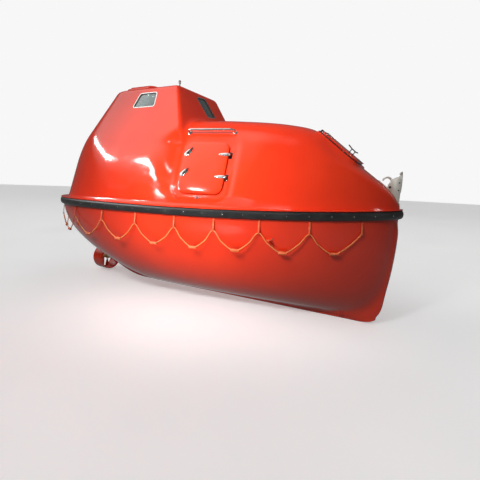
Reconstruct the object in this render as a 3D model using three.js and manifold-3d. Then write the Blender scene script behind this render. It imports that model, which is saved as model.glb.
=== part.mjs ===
// Enclosed lifeboat, 5 m long, in millimetres. +X is the bow, +Y is port and +Z is up.
// Inside the boat group heights count from the middle of the fender. The group lifts them, so that the
// origin lies on the waterline, amidships on the centreline.
import * as THREE from "three";
import { mergeVertices } from "three/addons/utils/BufferGeometryUtils.js";
import Module from "manifold-3d";

const wasm = await Module();
wasm.setup();

// Driving dimensions of the whole boat
const LENGTH = 5000;
const BREADTH = 2280;
const DEPTH = 1200;
const GUNWALE_ABOVE_WATER = 600;
const WIDEST_X = -622;
const SHEER_AT_BOW = 76;
const WALL = 30;
const GAP = 0.3;
const BEARING_GAP = 0.6;

// Plan curve of the fender: half breadth = b (1 - t^n)^(1/m), with t from the widest place to each end
const BOW_PLAN = { n: 1.75, m: 1.81 };
const STERN_PLAN = { n: 3.13, m: 1.7 };
const SIDE_STEPS = 9;

// Fender and gunwale, and the canopy's flange on top of them
const FENDER_PROUD = 45;
const FENDER_HALF_HEIGHT = 47;
const FENDER_SECTION = [
  { inset: FENDER_PROUD - GAP, z: -FENDER_HALF_HEIGHT },
  { inset: 20, z: -FENDER_HALF_HEIGHT },
  { inset: 5, z: -32 },
  { inset: 0, z: -12 },
  { inset: 0, z: 12 },
  { inset: 5, z: 32 },
  { inset: 20, z: FENDER_HALF_HEIGHT },
  { inset: FENDER_PROUD - GAP, z: FENDER_HALF_HEIGHT },
];
const FLANGE_THICK = 12;
const FLANGE_INSET = 8;
const CANOPY_INSET = 100;
const CANOPY_BASE = FENDER_HALF_HEIGHT + GAP;

// Hull below the gunwale: level curves that shrink with depth, while the stem and the stern rake inwards
const HULL_DEPTH = 1150;
const HULL_LEVELS = 9;
const HULL_SIDE = { n: 1.85, m: 2.05 };
const DEEPEST_SHARE = 0.9995;
const STERN_RAKE = { reach: 1900, power: 2.05 };
const STEM_RAKE = { reach: 330, power: 5, slope: 40 };
const STERN_FILLS_OUT = 1.2;
const SHORTEST_RUN = 40;

// Keel, stem and skeg in one outline on the centreline
const KEEL_WIDTH = 100;
const SKEG_FOOT_Z = -758;
const SKEG_END_X = -1790;
const STOCK_X = -2040;
const KEEL_OUTLINE = [
  [2380, -60], [2452, -60], [2452, -250], [2428, -540], [2408, -800], [2394, -980],
  [2372, -1065], [2330, -1130], [2265, -1178], [2188, -DEPTH], [-1210, -DEPTH],
  [-1387, -1173], [-1590, -1111], [-1740, -1048], [SKEG_END_X, -1030], [SKEG_END_X, SKEG_FOOT_Z],
  [STOCK_X - 45, SKEG_FOOT_Z], [STOCK_X - 45, -500], [-1500, -700], [-900, -1000],
  [1700, -1000], [2250, -900],
];

// Steering nozzle, its stock, and the propeller inside it
const SHAFT = { z: -985, radius: 18, inner: -1400, tube: 48 };
const STOCK = { radius: 22, top: -340, trunk: 44, head: -380 };
const NOZZLE = { radius: 205, bore: 180, length: 220, top: -767 };
const PALM = { length: 120, width: 70 };
const FIN = { fore: 75, aft: 215, drop: 17, thick: 14 };
const HUB = { radius: 34, aft: -40, fore: 42 };
const BLADE = { count: 4, tip: 166, long: 138, chord: 120, thick: 9, pitch: 32 };

// Tower: a leaning box that narrows upwards, inside walls that follow the gunwale
const ROOF_Z = 1540;
const ROOF_HALF = 455;
const TOWER_SIDE_LEAN = 0.45;
const TOWER_FRONT = { x: -216, lean: 0.42 };
const TOWER_AFT = { x: -1350, lean: 0.6, corner: 0.45, steps: 6 };
const TOWER_EDGE = [15, 50];
const WALL_LEAN = 0.27;

// Forward canopy sections: x, crown height, knuckle height, side lean, share of the side that is straight
const CANOPY_SECTIONS = [
  { x: -900, crown: 1166, knuckle: 420, lean: 0.46, straight: 0.62 },
  { x: -300, crown: 1166, knuckle: 400, lean: 0.46, straight: 0.62 },
  { x: 235, crown: 1156, knuckle: 300, lean: 0.46, straight: 0.64 },
  { x: 750, crown: 1122, knuckle: 210, lean: 0.45, straight: 0.66 },
  { x: 1030, crown: 1088, knuckle: 170, lean: 0.42, straight: 0.66 },
  { x: 1258, crown: 1046, knuckle: 145, lean: 0.39, straight: 0.66 },
  { x: 1440, crown: 1000, knuckle: 135, lean: 0.35, straight: 0.66 },
  { x: 1590, crown: 915, knuckle: 135, lean: 0.31, straight: 0.66 },
  { x: 1823, crown: 718, knuckle: 135, lean: 0.25, straight: 0.66 },
  { x: 2056, crown: 548, knuckle: 140, lean: 0.2, straight: 0.66 },
  { x: 2226, crown: 418, knuckle: 145, lean: 0.2, straight: 0.64 },
  { x: 2340, crown: 320, knuckle: 140, lean: 0.2, straight: 0.6 },
  { x: 2392, crown: 240, knuckle: 130, lean: 0.2, straight: 0.5 },
];
const ROOF_ARC_STEPS = 4;
const NARROWEST = { base: 25, knuckle: 10, shoulder: 8, turn: 5 };

// Side hatches: the middle of the starboard seat, how far it turns in and leans back
const SIDE_HATCH = { x: 411, y: -768, z: 493, turn: 10, lean: 24.6 };

// Hatches on the centreline: the middle of the seat, its slope from level and the way it faces
const BOW_HATCH = { x: 1775, z: 762, slope: 38.5, way: 1, rise: 14 };
const AFT_HATCH = { x: -1602, z: 1120, slope: 59, way: -1, rise: 14 };
const ROOF_HATCH = { x: -990, z: ROOF_Z, slope: 0, way: -1, rise: 46 };

// Every hatch: lid size, the pad round it, the pad's depth, and how far its hinge side is turned from local x
const HATCHES = {
  starboard: { wide: 545, high: 650, margin: 62, depth: 220, turn: 0 },
  port: { wide: 545, high: 650, margin: 62, depth: 220, turn: 180 },
  bow: { wide: 480, high: 530, margin: 44, depth: 220, turn: 90 },
  aft: { wide: 480, high: 470, margin: 44, depth: 220, turn: 90 },
  roof: { wide: 600, high: 460, margin: 44, depth: ROOF_HATCH.rise + WALL, turn: 90 },
};
const LID = { thick: 26, lap: 28, spigot: 16, clearance: 9, corner: 95 };

// Hinges: the pin stands past the lid's edge, over a foot on the pad. Ears and knuckles sit along the pin.
const HINGE = { past: 18, height: 24, pin: 5, knuckle: 9.5, width: 26, arm: 5, strap: 120 };
const EAR = { radius: 10, thick: 7, foot: 4, reach: 22, width: 40 };
const EAR_SPREAD = (HINGE.width + EAR.thick) / 2 + 1;
const SIDE_HINGES = { upper: 163, lower: -115 };
const END_HINGE = { ears: 150, knuckles: 105 };

// Dogs that press the side hatches home, and the handles on the other lids
const DOG = { inset: 48, base: 24, boss: 13, rise: 20, lever: 92, width: 15, thick: 9 };
const DOG_PLACES = { upper: 178, lower: -81 };
const HANDLE = { y: -110, base: 22, radius: 9, rise: 45, long: 100 };

// Windows: the middle of each pane, and its size
const GLASS_THICK = 8;
const GLASS_SUNK = 6;
const WINDOW_SILL = 14;
const WINDOW_CORNER = 28;
const SIDE_WINDOW = { x: -655, z: 1362, wide: 310, high: 200 };
const FRONT_WINDOW = { y: 40, z: 1362, wide: 210, high: 205 };

// Lifting hooks: outlines in x and z from the jaw's pivot, with x towards the end of the boat
const BOW_HOOK = { x: 2336, z: 366, way: 1, foot: 181 };
const STERN_HOOK = { x: -2165, z: 330, way: -1, foot: CANOPY_BASE + FLANGE_THICK / 2 };
const CHEEK_TOP = [[-110, -20], [-40, -20], [-16, 24], [2, 70], [40, 86], [66, 80], [92, 30], [104, -60]];
const BLADE_TOP = [[78, 120], [88, 168], [104, 172], [112, 160]];
const BLADE_EYE = { x: 95, z: 145, radius: 8 };
const HOOK = { plate: 10, inside: 34, pin: 9, lug: 21 };
const JAW = { x: -38, z: 62, outer: 56, inner: 32, from: -70, to: 172, thick: 24 };

// Lifelines: where each is hitched to the hull side, from the bow aft, and the route of the rope
const ROPE = { diameter: 12, steps: 79, sides: 8 };
const FLOAT = { radius: 17, length: 90, sides: 8 };
const STRAP = { drop: 90, out: 52, wide: 16, high: 115 };
const HITCHES = [
  [2141, 414], [1662, 666], [1166, 836], [676, 954], [201, 1033],
  [-334, 1085], [-881, 1094], [-1442, 1041], [-1936, 848], [-2285, 500],
];
const LIFELINE_ROUTE = [
  [2150, 425, -130], [2050, 475, -250], [1910, 555, -350], [1765, 630, -265],
  [1670, 680, -155], [1570, 715, -270], [1420, 765, -370], [1270, 815, -280],
  [1170, 850, -170], [1070, 875, -290], [925, 910, -380], [775, 945, -295],
  [680, 970, -180], [585, 985, -300], [440, 1005, -390], [300, 1030, -300],
  [205, 1045, -185], [95, 1055, -300], [-65, 1075, -390], [-225, 1090, -300],
  [-335, 1100, -185], [-445, 1100, -300], [-605, 1105, -390], [-770, 1105, -300],
  [-880, 1110, -185], [-995, 1095, -300], [-1165, 1080, -390], [-1330, 1065, -300],
  [-1445, 1055, -185], [-1545, 1015, -300], [-1695, 955, -390], [-1845, 900, -300],
  [-1945, 860, -185], [-2015, 790, -300], [-2120, 685, -390], [-2225, 580, -300],
  [-2295, 510, -185],
];
const POINTS_PER_BIGHT = 4;

// Inside: sole, side benches, engine box, helm
const SOLE = { aft: -790, fore: 2400, bottom: -650, top: -620 };
const BENCH = { aft: -750, fore: 1500, y: 560, top: -240 };
const ENGINE = { x: [-1380, -840], half: 230, z: [-900, -400] };
const CONSOLE = { x: [-560, -380], half: 230, top: 760 };
const SEAT = { x: -1080, z: 500, post: 110, cushion: [400, 420, 70], back: [400, 360, 60], corner: 60, lean: 0.15 };
const WHEEL = { x: -640, z: 660, radius: 175, rim: 13, hub: 40, depth: 44, lean: 15, column: 24, shank: 110 };

// Grab rail above each side hatch, in the frame of the hatch, and the lamp on the roof
const RAIL = { half: 268, up: 458, out: 88, radius: 12, foot: -60 };
const LAMP = { x: -540, base: [34, 25], mast: [12, 150], light: [27, 192] };

const paint = (color, roughness, metalness = 0) => new THREE.MeshStandardMaterial({ color, roughness, metalness });
const orange = () => paint(0xf0391c, 0.2);
const black = () => paint(0x1a1a1b, 0.6);
const steel = () => paint(0xc9c9c4, 0.25, 1);
const liner = () => paint(0xd9d4c6, 0.6);
const glass = () => paint(0x6f8f8a, 0.08);
const rope = () => paint(0xf08a4a, 0.8);

const sheer = (x) => (x > 0 ? SHEER_AT_BOW * (x / (LENGTH / 2)) ** 2 : 0);
const degrees = THREE.MathUtils.degToRad;

// Half breadth of a plan curve at x, for its own breadth, ends and exponents
function planHalf(x, { half, fore, aft, bow = BOW_PLAN, stern = STERN_PLAN }) {
  const shape = x > WIDEST_X ? bow : stern;
  const end = x > WIDEST_X ? fore : aft;
  const t = Math.min(1, Math.abs((x - WIDEST_X) / (end - WIDEST_X)));
  return half * (1 - t ** shape.n) ** (1 / shape.m);
}

// The fender's outer plan, moved inwards
const planInset = (inset) => ({ half: BREADTH / 2 - inset, fore: LENGTH / 2 - inset, aft: -LENGTH / 2 + inset });

// Points of a plan curve, anticlockwise from the stem round the port side
function planRing(plan) {
  const side = [];
  for (let i = 0; i < 2 * SIDE_STEPS; i += 1) {
    const angle = (i * Math.PI) / (2 * SIDE_STEPS);
    const end = i < SIDE_STEPS ? plan.fore - WIDEST_X : WIDEST_X - plan.aft;
    const x = WIDEST_X + end * Math.cos(angle);
    side.push([x, planHalf(x, plan)]);
  }
  const other = side.slice(1).reverse().map(([x, y]) => [x, -y]);
  return [...side, [plan.aft, 0], ...other];
}

const raised = (ring, z) => ring.map(([x, y]) => [x, y, z + sheer(x)]);

// Geometry from rows of points that all have the same number of points, each row a closed ring
function skinRings(rings, closed = false) {
  const count = rings[0].length;
  const points = rings.flat();
  const faces = [];
  const rows = closed ? rings.length : rings.length - 1;
  for (let r = 0; r < rows; r += 1) {
    const next = (r + 1) % rings.length;
    for (let i = 0; i < count; i += 1) {
      const j = (i + 1) % count;
      faces.push(r * count + i, r * count + j, next * count + j);
      faces.push(r * count + i, next * count + j, next * count + i);
    }
  }
  if (!closed) {
    for (const row of [0, rings.length - 1]) {
      const middle = [0, 1, 2].map((k) => rings[row].reduce((sum, p) => sum + p[k], 0) / count);
      const centre = points.push(middle) - 1;
      for (let i = 0; i < count; i += 1) {
        const edge = [row * count + i, row * count + ((i + 1) % count)];
        faces.push(centre, ...(row === 0 ? edge.reverse() : edge));
      }
    }
  }
  const geometry = new THREE.BufferGeometry();
  geometry.setAttribute("position", new THREE.Float32BufferAttribute(points.flat(), 3));
  geometry.setIndex(faces);
  return geometry;
}

// A closed three.js geometry as a solid for joining and cutting
function solid(geometry) {
  const bare = geometry.clone();
  bare.deleteAttribute("normal");
  bare.deleteAttribute("uv");
  const merged = mergeVertices(bare, 1e-3);
  return new wasm.Manifold(
    new wasm.Mesh({
      numProp: 3,
      vertProperties: Float32Array.from(merged.attributes.position.array),
      triVerts: Uint32Array.from(merged.index.array),
    }),
  );
}

const add = (first, ...rest) => rest.reduce((sum, next) => sum.add(next), first);
const cut = (first, ...rest) => rest.reduce((sum, next) => sum.subtract(next), first);

function geometryOf(body) {
  const mesh = body.getMesh();
  const geometry = new THREE.BufferGeometry();
  geometry.setAttribute("position", new THREE.BufferAttribute(Float32Array.from(mesh.vertProperties), 3));
  geometry.setIndex(new THREE.BufferAttribute(Uint32Array.from(mesh.triVerts), 1));
  geometry.computeVertexNormals();
  return geometry;
}

function node(name, geometry, material, parent) {
  const mesh = new THREE.Mesh(geometry, material);
  mesh.name = name;
  parent.add(mesh);
  return mesh;
}

const box = (x, y, z, at = [0, 0, 0]) => new THREE.BoxGeometry(x, y, z).translate(...at);

const boxBetween = ([x0, x1], [y0, y1], [z0, z1]) =>
  box(Math.abs(x1 - x0), Math.abs(y1 - y0), Math.abs(z1 - z0), [(x0 + x1) / 2, (y0 + y1) / 2, (z0 + z1) / 2]);

// A round bar between two points
function bar(radius, from, to, sides = 12) {
  const a = new THREE.Vector3(...from);
  const b = new THREE.Vector3(...to);
  const geometry = new THREE.CylinderGeometry(radius, radius, a.distanceTo(b), sides);
  const turn = new THREE.Quaternion().setFromUnitVectors(new THREE.Vector3(0, 1, 0), b.clone().sub(a).normalize());
  return geometry.applyQuaternion(turn).translate(...a.add(b).multiplyScalar(0.5));
}

// A round bar across the boat, or across a local frame, at x and z
const crossBar = (radius, x, z, half, sides = 20) => bar(radius, [x, -half, z], [x, half, z], sides);

// Rounded rectangle in the local x, y plane, drawn out from one height to another
function roundedPlate(wide, high, corner, from, to, steps = 3) {
  const x = wide / 2;
  const y = high / 2;
  const shape = new THREE.Shape();
  shape.moveTo(-x + corner, -y);
  shape.lineTo(x - corner, -y);
  shape.absarc(x - corner, -y + corner, corner, -Math.PI / 2, 0);
  shape.lineTo(x, y - corner);
  shape.absarc(x - corner, y - corner, corner, 0, Math.PI / 2);
  shape.lineTo(-x + corner, y);
  shape.absarc(-x + corner, y - corner, corner, Math.PI / 2, Math.PI);
  shape.lineTo(-x, -y + corner);
  shape.absarc(-x + corner, -y + corner, corner, Math.PI, 1.5 * Math.PI);
  const geometry = new THREE.ExtrudeGeometry(shape, { depth: to - from, bevelEnabled: false, curveSegments: steps });
  return geometry.translate(0, 0, from);
}

// An outline in the x, z plane, drawn out to both sides of y
function sidePlate(outline, thick, y = 0) {
  const shape = new THREE.Shape(outline.map(([x, z]) => new THREE.Vector2(x, z)));
  const geometry = new THREE.ExtrudeGeometry(shape, { depth: thick, bevelEnabled: false });
  return geometry.rotateX(Math.PI / 2).translate(0, y + thick / 2, 0);
}

// Hull: a share of 0 is the gunwale and 1 the underside. A wall above 0 gives the room inside.
function hullBody(wall) {
  const gunwale = planInset(FENDER_PROUD + wall);
  const rings = [];
  for (let level = HULL_LEVELS; level >= 0; level -= 1) {
    const share = Math.min(DEEPEST_SHARE, Math.sin((level * Math.PI) / (2 * HULL_LEVELS)));
    const stemRake = STEM_RAKE.reach * share ** STEM_RAKE.power + STEM_RAKE.slope * share;
    const sternRake = STERN_RAKE.reach * share ** STERN_RAKE.power;
    const ring = planRing({
      half: gunwale.half * (1 - share ** HULL_SIDE.n) ** (1 / HULL_SIDE.m),
      fore: gunwale.fore - stemRake,
      aft: Math.min(gunwale.aft + sternRake, WIDEST_X - SHORTEST_RUN),
      stern: { n: STERN_PLAN.n - STERN_FILLS_OUT * share, m: STERN_PLAN.m + STERN_FILLS_OUT * share },
    });
    rings.push(ring.map(([x, y]) => [x, y, sheer(x) * (1 - share) - (HULL_DEPTH - wall) * share]));
  }
  const rim = wall > 0 ? 4 * FENDER_HALF_HEIGHT : FENDER_HALF_HEIGHT;
  rings.push(raised(planRing(gunwale), rim));
  return solid(skinRings(rings));
}

const lifelinePoints = (side) => LIFELINE_ROUTE.map(([x, y, z]) => new THREE.Vector3(x, side * y, z));

function ropeGeometry(side, radius) {
  const route = new THREE.CatmullRomCurve3(lifelinePoints(side), false, "centripetal");
  const corners = [];
  for (let i = 0; i < ROPE.sides; i += 1) {
    const angle = (2 * Math.PI * i) / ROPE.sides;
    corners.push(new THREE.Vector2(radius * Math.cos(angle), radius * Math.sin(angle)));
  }
  return new THREE.ExtrudeGeometry(new THREE.Shape(corners), { steps: ROPE.steps, extrudePath: route });
}

// Straps that hang from the gunwale, square to the hull side
function strapSolids() {
  const straps = [];
  for (const [x, y] of HITCHES) {
    const ahead = planHalf(x + 1, planInset(FENDER_PROUD));
    const behind = planHalf(x - 1, planInset(FENDER_PROUD));
    for (const side of [1, -1]) {
      const strap = box(STRAP.out, STRAP.wide, STRAP.high).rotateZ(side * Math.atan2(2, behind - ahead));
      straps.push(solid(strap.translate(x, side * y, sheer(x) - STRAP.drop - STRAP.high / 2)));
    }
  }
  return straps;
}

// The hull is one shell with the keel, the stock's trunk and the straps that the lifelines run through
function hullGeometry() {
  const keel = solid(sidePlate(KEEL_OUTLINE, KEEL_WIDTH));
  const tube = solid(bar(SHAFT.tube, [SHAFT.inner, 0, SHAFT.z], [SKEG_END_X - 12, 0, SHAFT.z], 16));
  const trunk = solid(bar(STOCK.trunk, [STOCK_X, 0, STOCK.head], [STOCK_X, 0, SKEG_FOOT_Z], 16));
  const inside = hullBody(WALL).subtract(trunk);
  const shell = add(hullBody(0), keel, tube).subtract(inside);
  const shaftBore = bar(SHAFT.radius + BEARING_GAP, [SHAFT.inner + 2, 0, SHAFT.z], [STOCK_X, 0, SHAFT.z], 20);
  const stockBore = bar(STOCK.radius + BEARING_GAP, [STOCK_X, 0, STOCK.head + 80], [STOCK_X, 0, -900], 20);
  const eyes = [1, -1].map((side) => solid(ropeGeometry(side, ROPE.diameter / 2 + GAP)));
  return geometryOf(cut(add(shell, trunk, ...strapSolids()), solid(shaftBore), solid(stockBore), ...eyes));
}

// Forward canopy: a straight leaning side above a knuckle, then an arc to the crown
function canopySections(wall) {
  return CANOPY_SECTIONS.map((section) => {
    const half = Math.max(NARROWEST.base, planHalf(section.x, planInset(CANOPY_INSET)) - wall);
    const base = CANOPY_BASE + sheer(section.x) - (wall > 0 ? 4 * WALL : 0);
    const crown = section.crown - wall;
    const knuckle = section.knuckle - wall / 2;
    const knuckleY = half - WALL_LEAN * (section.knuckle - CANOPY_BASE - sheer(section.x));
    const shoulderZ = knuckle + section.straight * (crown - knuckle);
    const shoulderY = Math.max(NARROWEST.shoulder, knuckleY - section.lean * (shoulderZ - knuckle));
    const turnY = Math.max(NARROWEST.turn, shoulderY - section.lean * (crown - shoulderZ));
    const side = [[half, base], [Math.max(NARROWEST.knuckle, knuckleY), knuckle], [shoulderY, shoulderZ]];
    for (let i = 1; i <= ROOF_ARC_STEPS; i += 1) {
      const t = i / ROOF_ARC_STEPS;
      const y = (1 - t) ** 2 * shoulderY + 2 * t * (1 - t) * turnY;
      const z = (1 - t) ** 2 * shoulderZ + (1 - (1 - t) ** 2) * crown;
      side.push([y, z]);
    }
    const other = side.slice(0, -1).reverse().map(([y, z]) => [-y, z]);
    return [...side, ...other].map(([y, z]) => [section.x, y, z]);
  });
}

// A level slice of the tower's leaning box, with round corners aft
function towerRing(z, wall) {
  const down = ROOF_Z - z;
  const front = TOWER_FRONT.x + TOWER_FRONT.lean * down - wall;
  const aft = TOWER_AFT.x - TOWER_AFT.lean * down + wall;
  const half = ROOF_HALF + TOWER_SIDE_LEAN * down - wall;
  const radius = TOWER_AFT.corner * half;
  const points = [[front, half - TOWER_EDGE[1]], [front - TOWER_EDGE[0], half - TOWER_EDGE[0]], [front - TOWER_EDGE[1], half]];
  for (let i = 0; i <= TOWER_AFT.steps; i += 1) {
    const angle = (i * Math.PI) / (2 * TOWER_AFT.steps);
    points.push([aft + radius - radius * Math.sin(angle), half - radius + radius * Math.cos(angle)]);
  }
  const other = points.slice().reverse().map(([x, y]) => [x, -y]);
  return [...points, ...other].map(([x, y]) => [x, y, z]);
}

// Steep lower wall of the canopy, level plan curves that lean inwards
function wallRing(z, wall) {
  const plan = planInset(CANOPY_INSET + WALL_LEAN * (z - CANOPY_BASE) + wall);
  return planRing(plan).map(([x, y]) => [x, y, z]);
}

function canopyBody(wall) {
  const low = CANOPY_BASE - (wall > 0 ? 4 * WALL : 0);
  const forward = solid(skinRings(canopySections(wall)));
  const tower = solid(skinRings([towerRing(low, wall), towerRing(ROOF_Z - wall, wall)]));
  const walls = solid(skinRings([wallRing(low, wall), wallRing(ROOF_Z + 20, wall)]));
  const behind = solid(boxBetween([-LENGTH, TOWER_FRONT.x + 1100], [-BREADTH, BREADTH], [-DEPTH, 2 * ROOF_Z]));
  return tower.intersect(walls).intersect(behind).add(forward);
}

// The flange round the foot of the canopy, which lies on the hull's rim over the fender
function flangeBody(lift) {
  const outer = planRing(planInset(FLANGE_INSET));
  return solid(skinRings([CANOPY_BASE, CANOPY_BASE + FLANGE_THICK + lift].map((z) => raised(outer, z))));
}

// A frame whose local z points out of the boat, with local x along the given way
function frameAt(at, along, out) {
  const frame = new THREE.Group();
  const rise = new THREE.Vector3().crossVectors(out, along);
  frame.quaternion.setFromRotationMatrix(new THREE.Matrix4().makeBasis(along, rise, out));
  frame.position.copy(at);
  frame.updateMatrix();
  return frame;
}

// Local x runs along the boat and y up the seat
function sideHatchFrame(side) {
  const upright = new THREE.Vector3(0, 0, 1);
  const out = new THREE.Vector3(0, side, 0).applyAxisAngle(upright, -side * degrees(SIDE_HATCH.turn));
  const along = new THREE.Vector3().crossVectors(upright, out).normalize();
  out.applyAxisAngle(along, -degrees(SIDE_HATCH.lean));
  return frameAt(new THREE.Vector3(SIDE_HATCH.x, -side * SIDE_HATCH.y, SIDE_HATCH.z), along, out);
}

// Local x runs to the side and y up the slope, towards the hinge
function endHatchFrame({ x, z, slope, way, rise }) {
  const tilt = degrees(slope);
  const up = new THREE.Vector3(-way * Math.cos(tilt), 0, Math.sin(tilt));
  const out = new THREE.Vector3(way * Math.sin(tilt), 0, Math.cos(tilt));
  const at = new THREE.Vector3(x, 0, z).addScaledVector(out, rise);
  return frameAt(at, new THREE.Vector3().crossVectors(up, out), out);
}

function sideWindowFrame(side) {
  const y = ROOF_HALF + TOWER_SIDE_LEAN * (ROOF_Z - SIDE_WINDOW.z);
  const out = new THREE.Vector3(0, side, TOWER_SIDE_LEAN).normalize();
  const at = new THREE.Vector3(SIDE_WINDOW.x, side * y, SIDE_WINDOW.z);
  return frameAt(at, new THREE.Vector3(-side, 0, 0), out);
}

function frontWindowFrame() {
  const x = TOWER_FRONT.x + TOWER_FRONT.lean * (ROOF_Z - FRONT_WINDOW.z);
  const out = new THREE.Vector3(1, 0, TOWER_FRONT.lean).normalize();
  return frameAt(new THREE.Vector3(x, FRONT_WINDOW.y, FRONT_WINDOW.z), new THREE.Vector3(0, 1, 0), out);
}

const FRAMES = {
  starboard: sideHatchFrame(-1),
  port: sideHatchFrame(1),
  bow: endHatchFrame(BOW_HATCH),
  aft: endHatchFrame(AFT_HATCH),
  roof: endHatchFrame(ROOF_HATCH),
  window_starboard: sideWindowFrame(-1),
  window_port: sideWindowFrame(1),
  window_front: frontWindowFrame(),
};
const WINDOWS = { window_starboard: SIDE_WINDOW, window_port: SIDE_WINDOW, window_front: FRONT_WINDOW };

const placed = (geometry, frame) => geometry.clone().applyMatrix4(frame.matrix);

// The canopy: one shell with a flat pad round each hatch, and the openings cut
function canopyGeometry() {
  const pads = [];
  const backs = [];
  const openings = [];
  const through = 200;
  for (const [name, { wide, high, margin, depth }] of Object.entries(HATCHES)) {
    const slab = (from, to, trim = 0) => {
      const plate = roundedPlate(wide + 2 * margin - trim, high + 2 * margin - trim, LID.corner + margin / 2, from, to);
      return solid(placed(plate, FRAMES[name]));
    };
    pads.push(slab(-depth, 0));
    backs.push(slab(-WALL, 1));
    openings.push(slab(0, through, 2));
    const { lap, corner } = LID;
    const hole = roundedPlate(wide - 2 * lap, high - 2 * lap, corner - lap, -2 * through, through);
    openings.push(solid(placed(hole, FRAMES[name])));
  }
  for (const [name, { wide, high }] of Object.entries(WINDOWS)) {
    const pane = roundedPlate(wide, high, WINDOW_CORNER, -GLASS_THICK - GLASS_SUNK, through);
    const sill = 2 * WINDOW_SILL;
    const hole = roundedPlate(wide - sill, high - sill, WINDOW_CORNER - 8, -through, through);
    openings.push(solid(placed(pane, FRAMES[name])), solid(placed(hole, FRAMES[name])));
  }
  const outside = add(canopyBody(0), ...pads);
  return geometryOf(cut(outside, cut(canopyBody(WALL), ...backs), ...openings));
}

const fenderGeometry = () => skinRings(FENDER_SECTION.map(({ inset, z }) => raised(planRing(planInset(inset)), z)), true);

// Where the hinge pin of a hatch lies, from the middle of the lid
const hingeReach = ({ wide, high, turn }) => (turn === 90 ? high : wide) / 2 + HINGE.past;

// A hatch lid: a plate on its seat with a spigot that centres it in the opening, and a strap with a
// knuckle at each place along the hinge pin
function lidGeometry(hatch, knuckles) {
  const { wide, high, turn } = hatch;
  const inset = 2 * (LID.lap + LID.clearance);
  const plate = roundedPlate(wide, high, LID.corner, GAP, LID.thick);
  const spigot = roundedPlate(wide - inset, high - inset, LID.corner - LID.lap, -LID.spigot, GAP + 2);
  const reach = hingeReach(hatch);
  const parts = [solid(plate), solid(spigot)];
  for (const y of knuckles) {
    const side = [y - HINGE.width / 2, y + HINGE.width / 2];
    const strap = boxBetween([reach - HINGE.past - HINGE.strap, reach], side, [LID.thick - 4, LID.thick + HINGE.arm]);
    const knuckle = bar(HINGE.knuckle, [reach, side[0], HINGE.height], [reach, side[1], HINGE.height], 16);
    parts.push(solid(strap.rotateZ(degrees(turn))), solid(knuckle.rotateZ(degrees(turn))));
  }
  const bore = crossBar(HINGE.pin + BEARING_GAP, reach, HINGE.height, high, 12).rotateZ(degrees(turn));
  return geometryOf(add(...parts).subtract(solid(bore)));
}

// The fixed half of a hinge: a pin through ears that stand on the pad
function hingeGeometry(hatch, ears) {
  const reach = hingeReach(hatch);
  const half = EAR.thick / 2;
  const pinEnds = [Math.min(...ears) - half, Math.max(...ears) + half];
  const parts = [bar(HINGE.pin, [reach, pinEnds[0], HINGE.height], [reach, pinEnds[1], HINGE.height], 12)];
  for (const y of ears) {
    parts.push(bar(EAR.radius, [reach, y - half, HINGE.height], [reach, y + half, HINGE.height], 16));
    parts.push(boxBetween([reach - EAR.radius, reach + EAR.radius], [y - half, y + half], [GAP + 1, HINGE.height]));
    const foot = [y - EAR.width / 2, y + EAR.width / 2];
    parts.push(boxBetween([reach - EAR.radius, reach + EAR.reach], foot, [GAP, EAR.foot]));
  }
  return geometryOf(add(...parts.map(solid))).rotateZ(degrees(hatch.turn));
}

// A dog on the edge of a side lid away from the hinge: a round base and a lever
function dogGeometry(hatch, y) {
  const x = -(hatch.wide / 2 - DOG.inset);
  const foot = LID.thick + GAP;
  const top = LID.thick + DOG.rise;
  const base = bar(DOG.base, [x, y, foot], [x, y, foot + DOG.thick], 20);
  const boss = bar(DOG.boss, [x, y, foot + 1], [x, y, top], 16);
  const lever = box(DOG.width, DOG.lever, DOG.thick, [x, y + DOG.lever / 4, top]);
  return geometryOf(add(solid(base), solid(boss), solid(lever))).rotateZ(degrees(hatch.turn));
}

// A handle that stands off a lid: a base, a post and a grip along the slope
function handleGeometry() {
  const foot = LID.thick + GAP;
  const top = LID.thick + HANDLE.rise;
  const base = bar(HANDLE.base, [0, HANDLE.y, foot], [0, HANDLE.y, foot + 5], 20);
  const post = bar(HANDLE.radius, [0, HANDLE.y, foot + 1], [0, HANDLE.y, top], 12);
  const grip = bar(HANDLE.radius, [0, HANDLE.y - HANDLE.long / 2, top], [0, HANDLE.y + HANDLE.long / 2, top], 12);
  return geometryOf(add(solid(base), solid(post), solid(grip)));
}

const boat = new THREE.Group();
boat.position.z = GUNWALE_ABOVE_WATER;
boat.add(...Object.values(FRAMES));

node("hull", hullGeometry(), orange(), boat);
node("canopy", canopyGeometry(), orange(), boat);
node("gunwale_flange", geometryOf(flangeBody(0).subtract(canopyBody(-GAP))), orange(), boat);
node("fender", fenderGeometry(), black(), boat);

for (const [name, side] of [["starboard", 1], ["port", -1]]) {
  const hatch = HATCHES[name];
  const stations = Object.entries(SIDE_HINGES).map(([place, y]) => [place, side * y]);
  node(`side_hatch_${name}`, lidGeometry(hatch, stations.map(([, y]) => y)), orange(), FRAMES[name]);
  for (const [place, y] of stations) {
    const ears = [y - EAR_SPREAD, y + EAR_SPREAD];
    node(`side_hinge_${name}_${place}`, hingeGeometry(hatch, ears), steel(), FRAMES[name]);
  }
  for (const [place, y] of Object.entries(DOG_PLACES)) {
    node(`dog_${name}_${place}`, dogGeometry(hatch, side * y), steel(), FRAMES[name]);
  }
}

for (const name of ["bow", "aft", "roof"]) {
  const hatch = HATCHES[name];
  node(`${name}_hatch`, lidGeometry(hatch, [-END_HINGE.knuckles, END_HINGE.knuckles]), orange(), FRAMES[name]);
  node(`${name}_hatch_hinge`, hingeGeometry(hatch, [-END_HINGE.ears, END_HINGE.ears]), steel(), FRAMES[name]);
}
for (const name of ["bow", "aft"]) {
  node(`${name}_hatch_handle`, handleGeometry(), steel(), FRAMES[name]);
}

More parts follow.
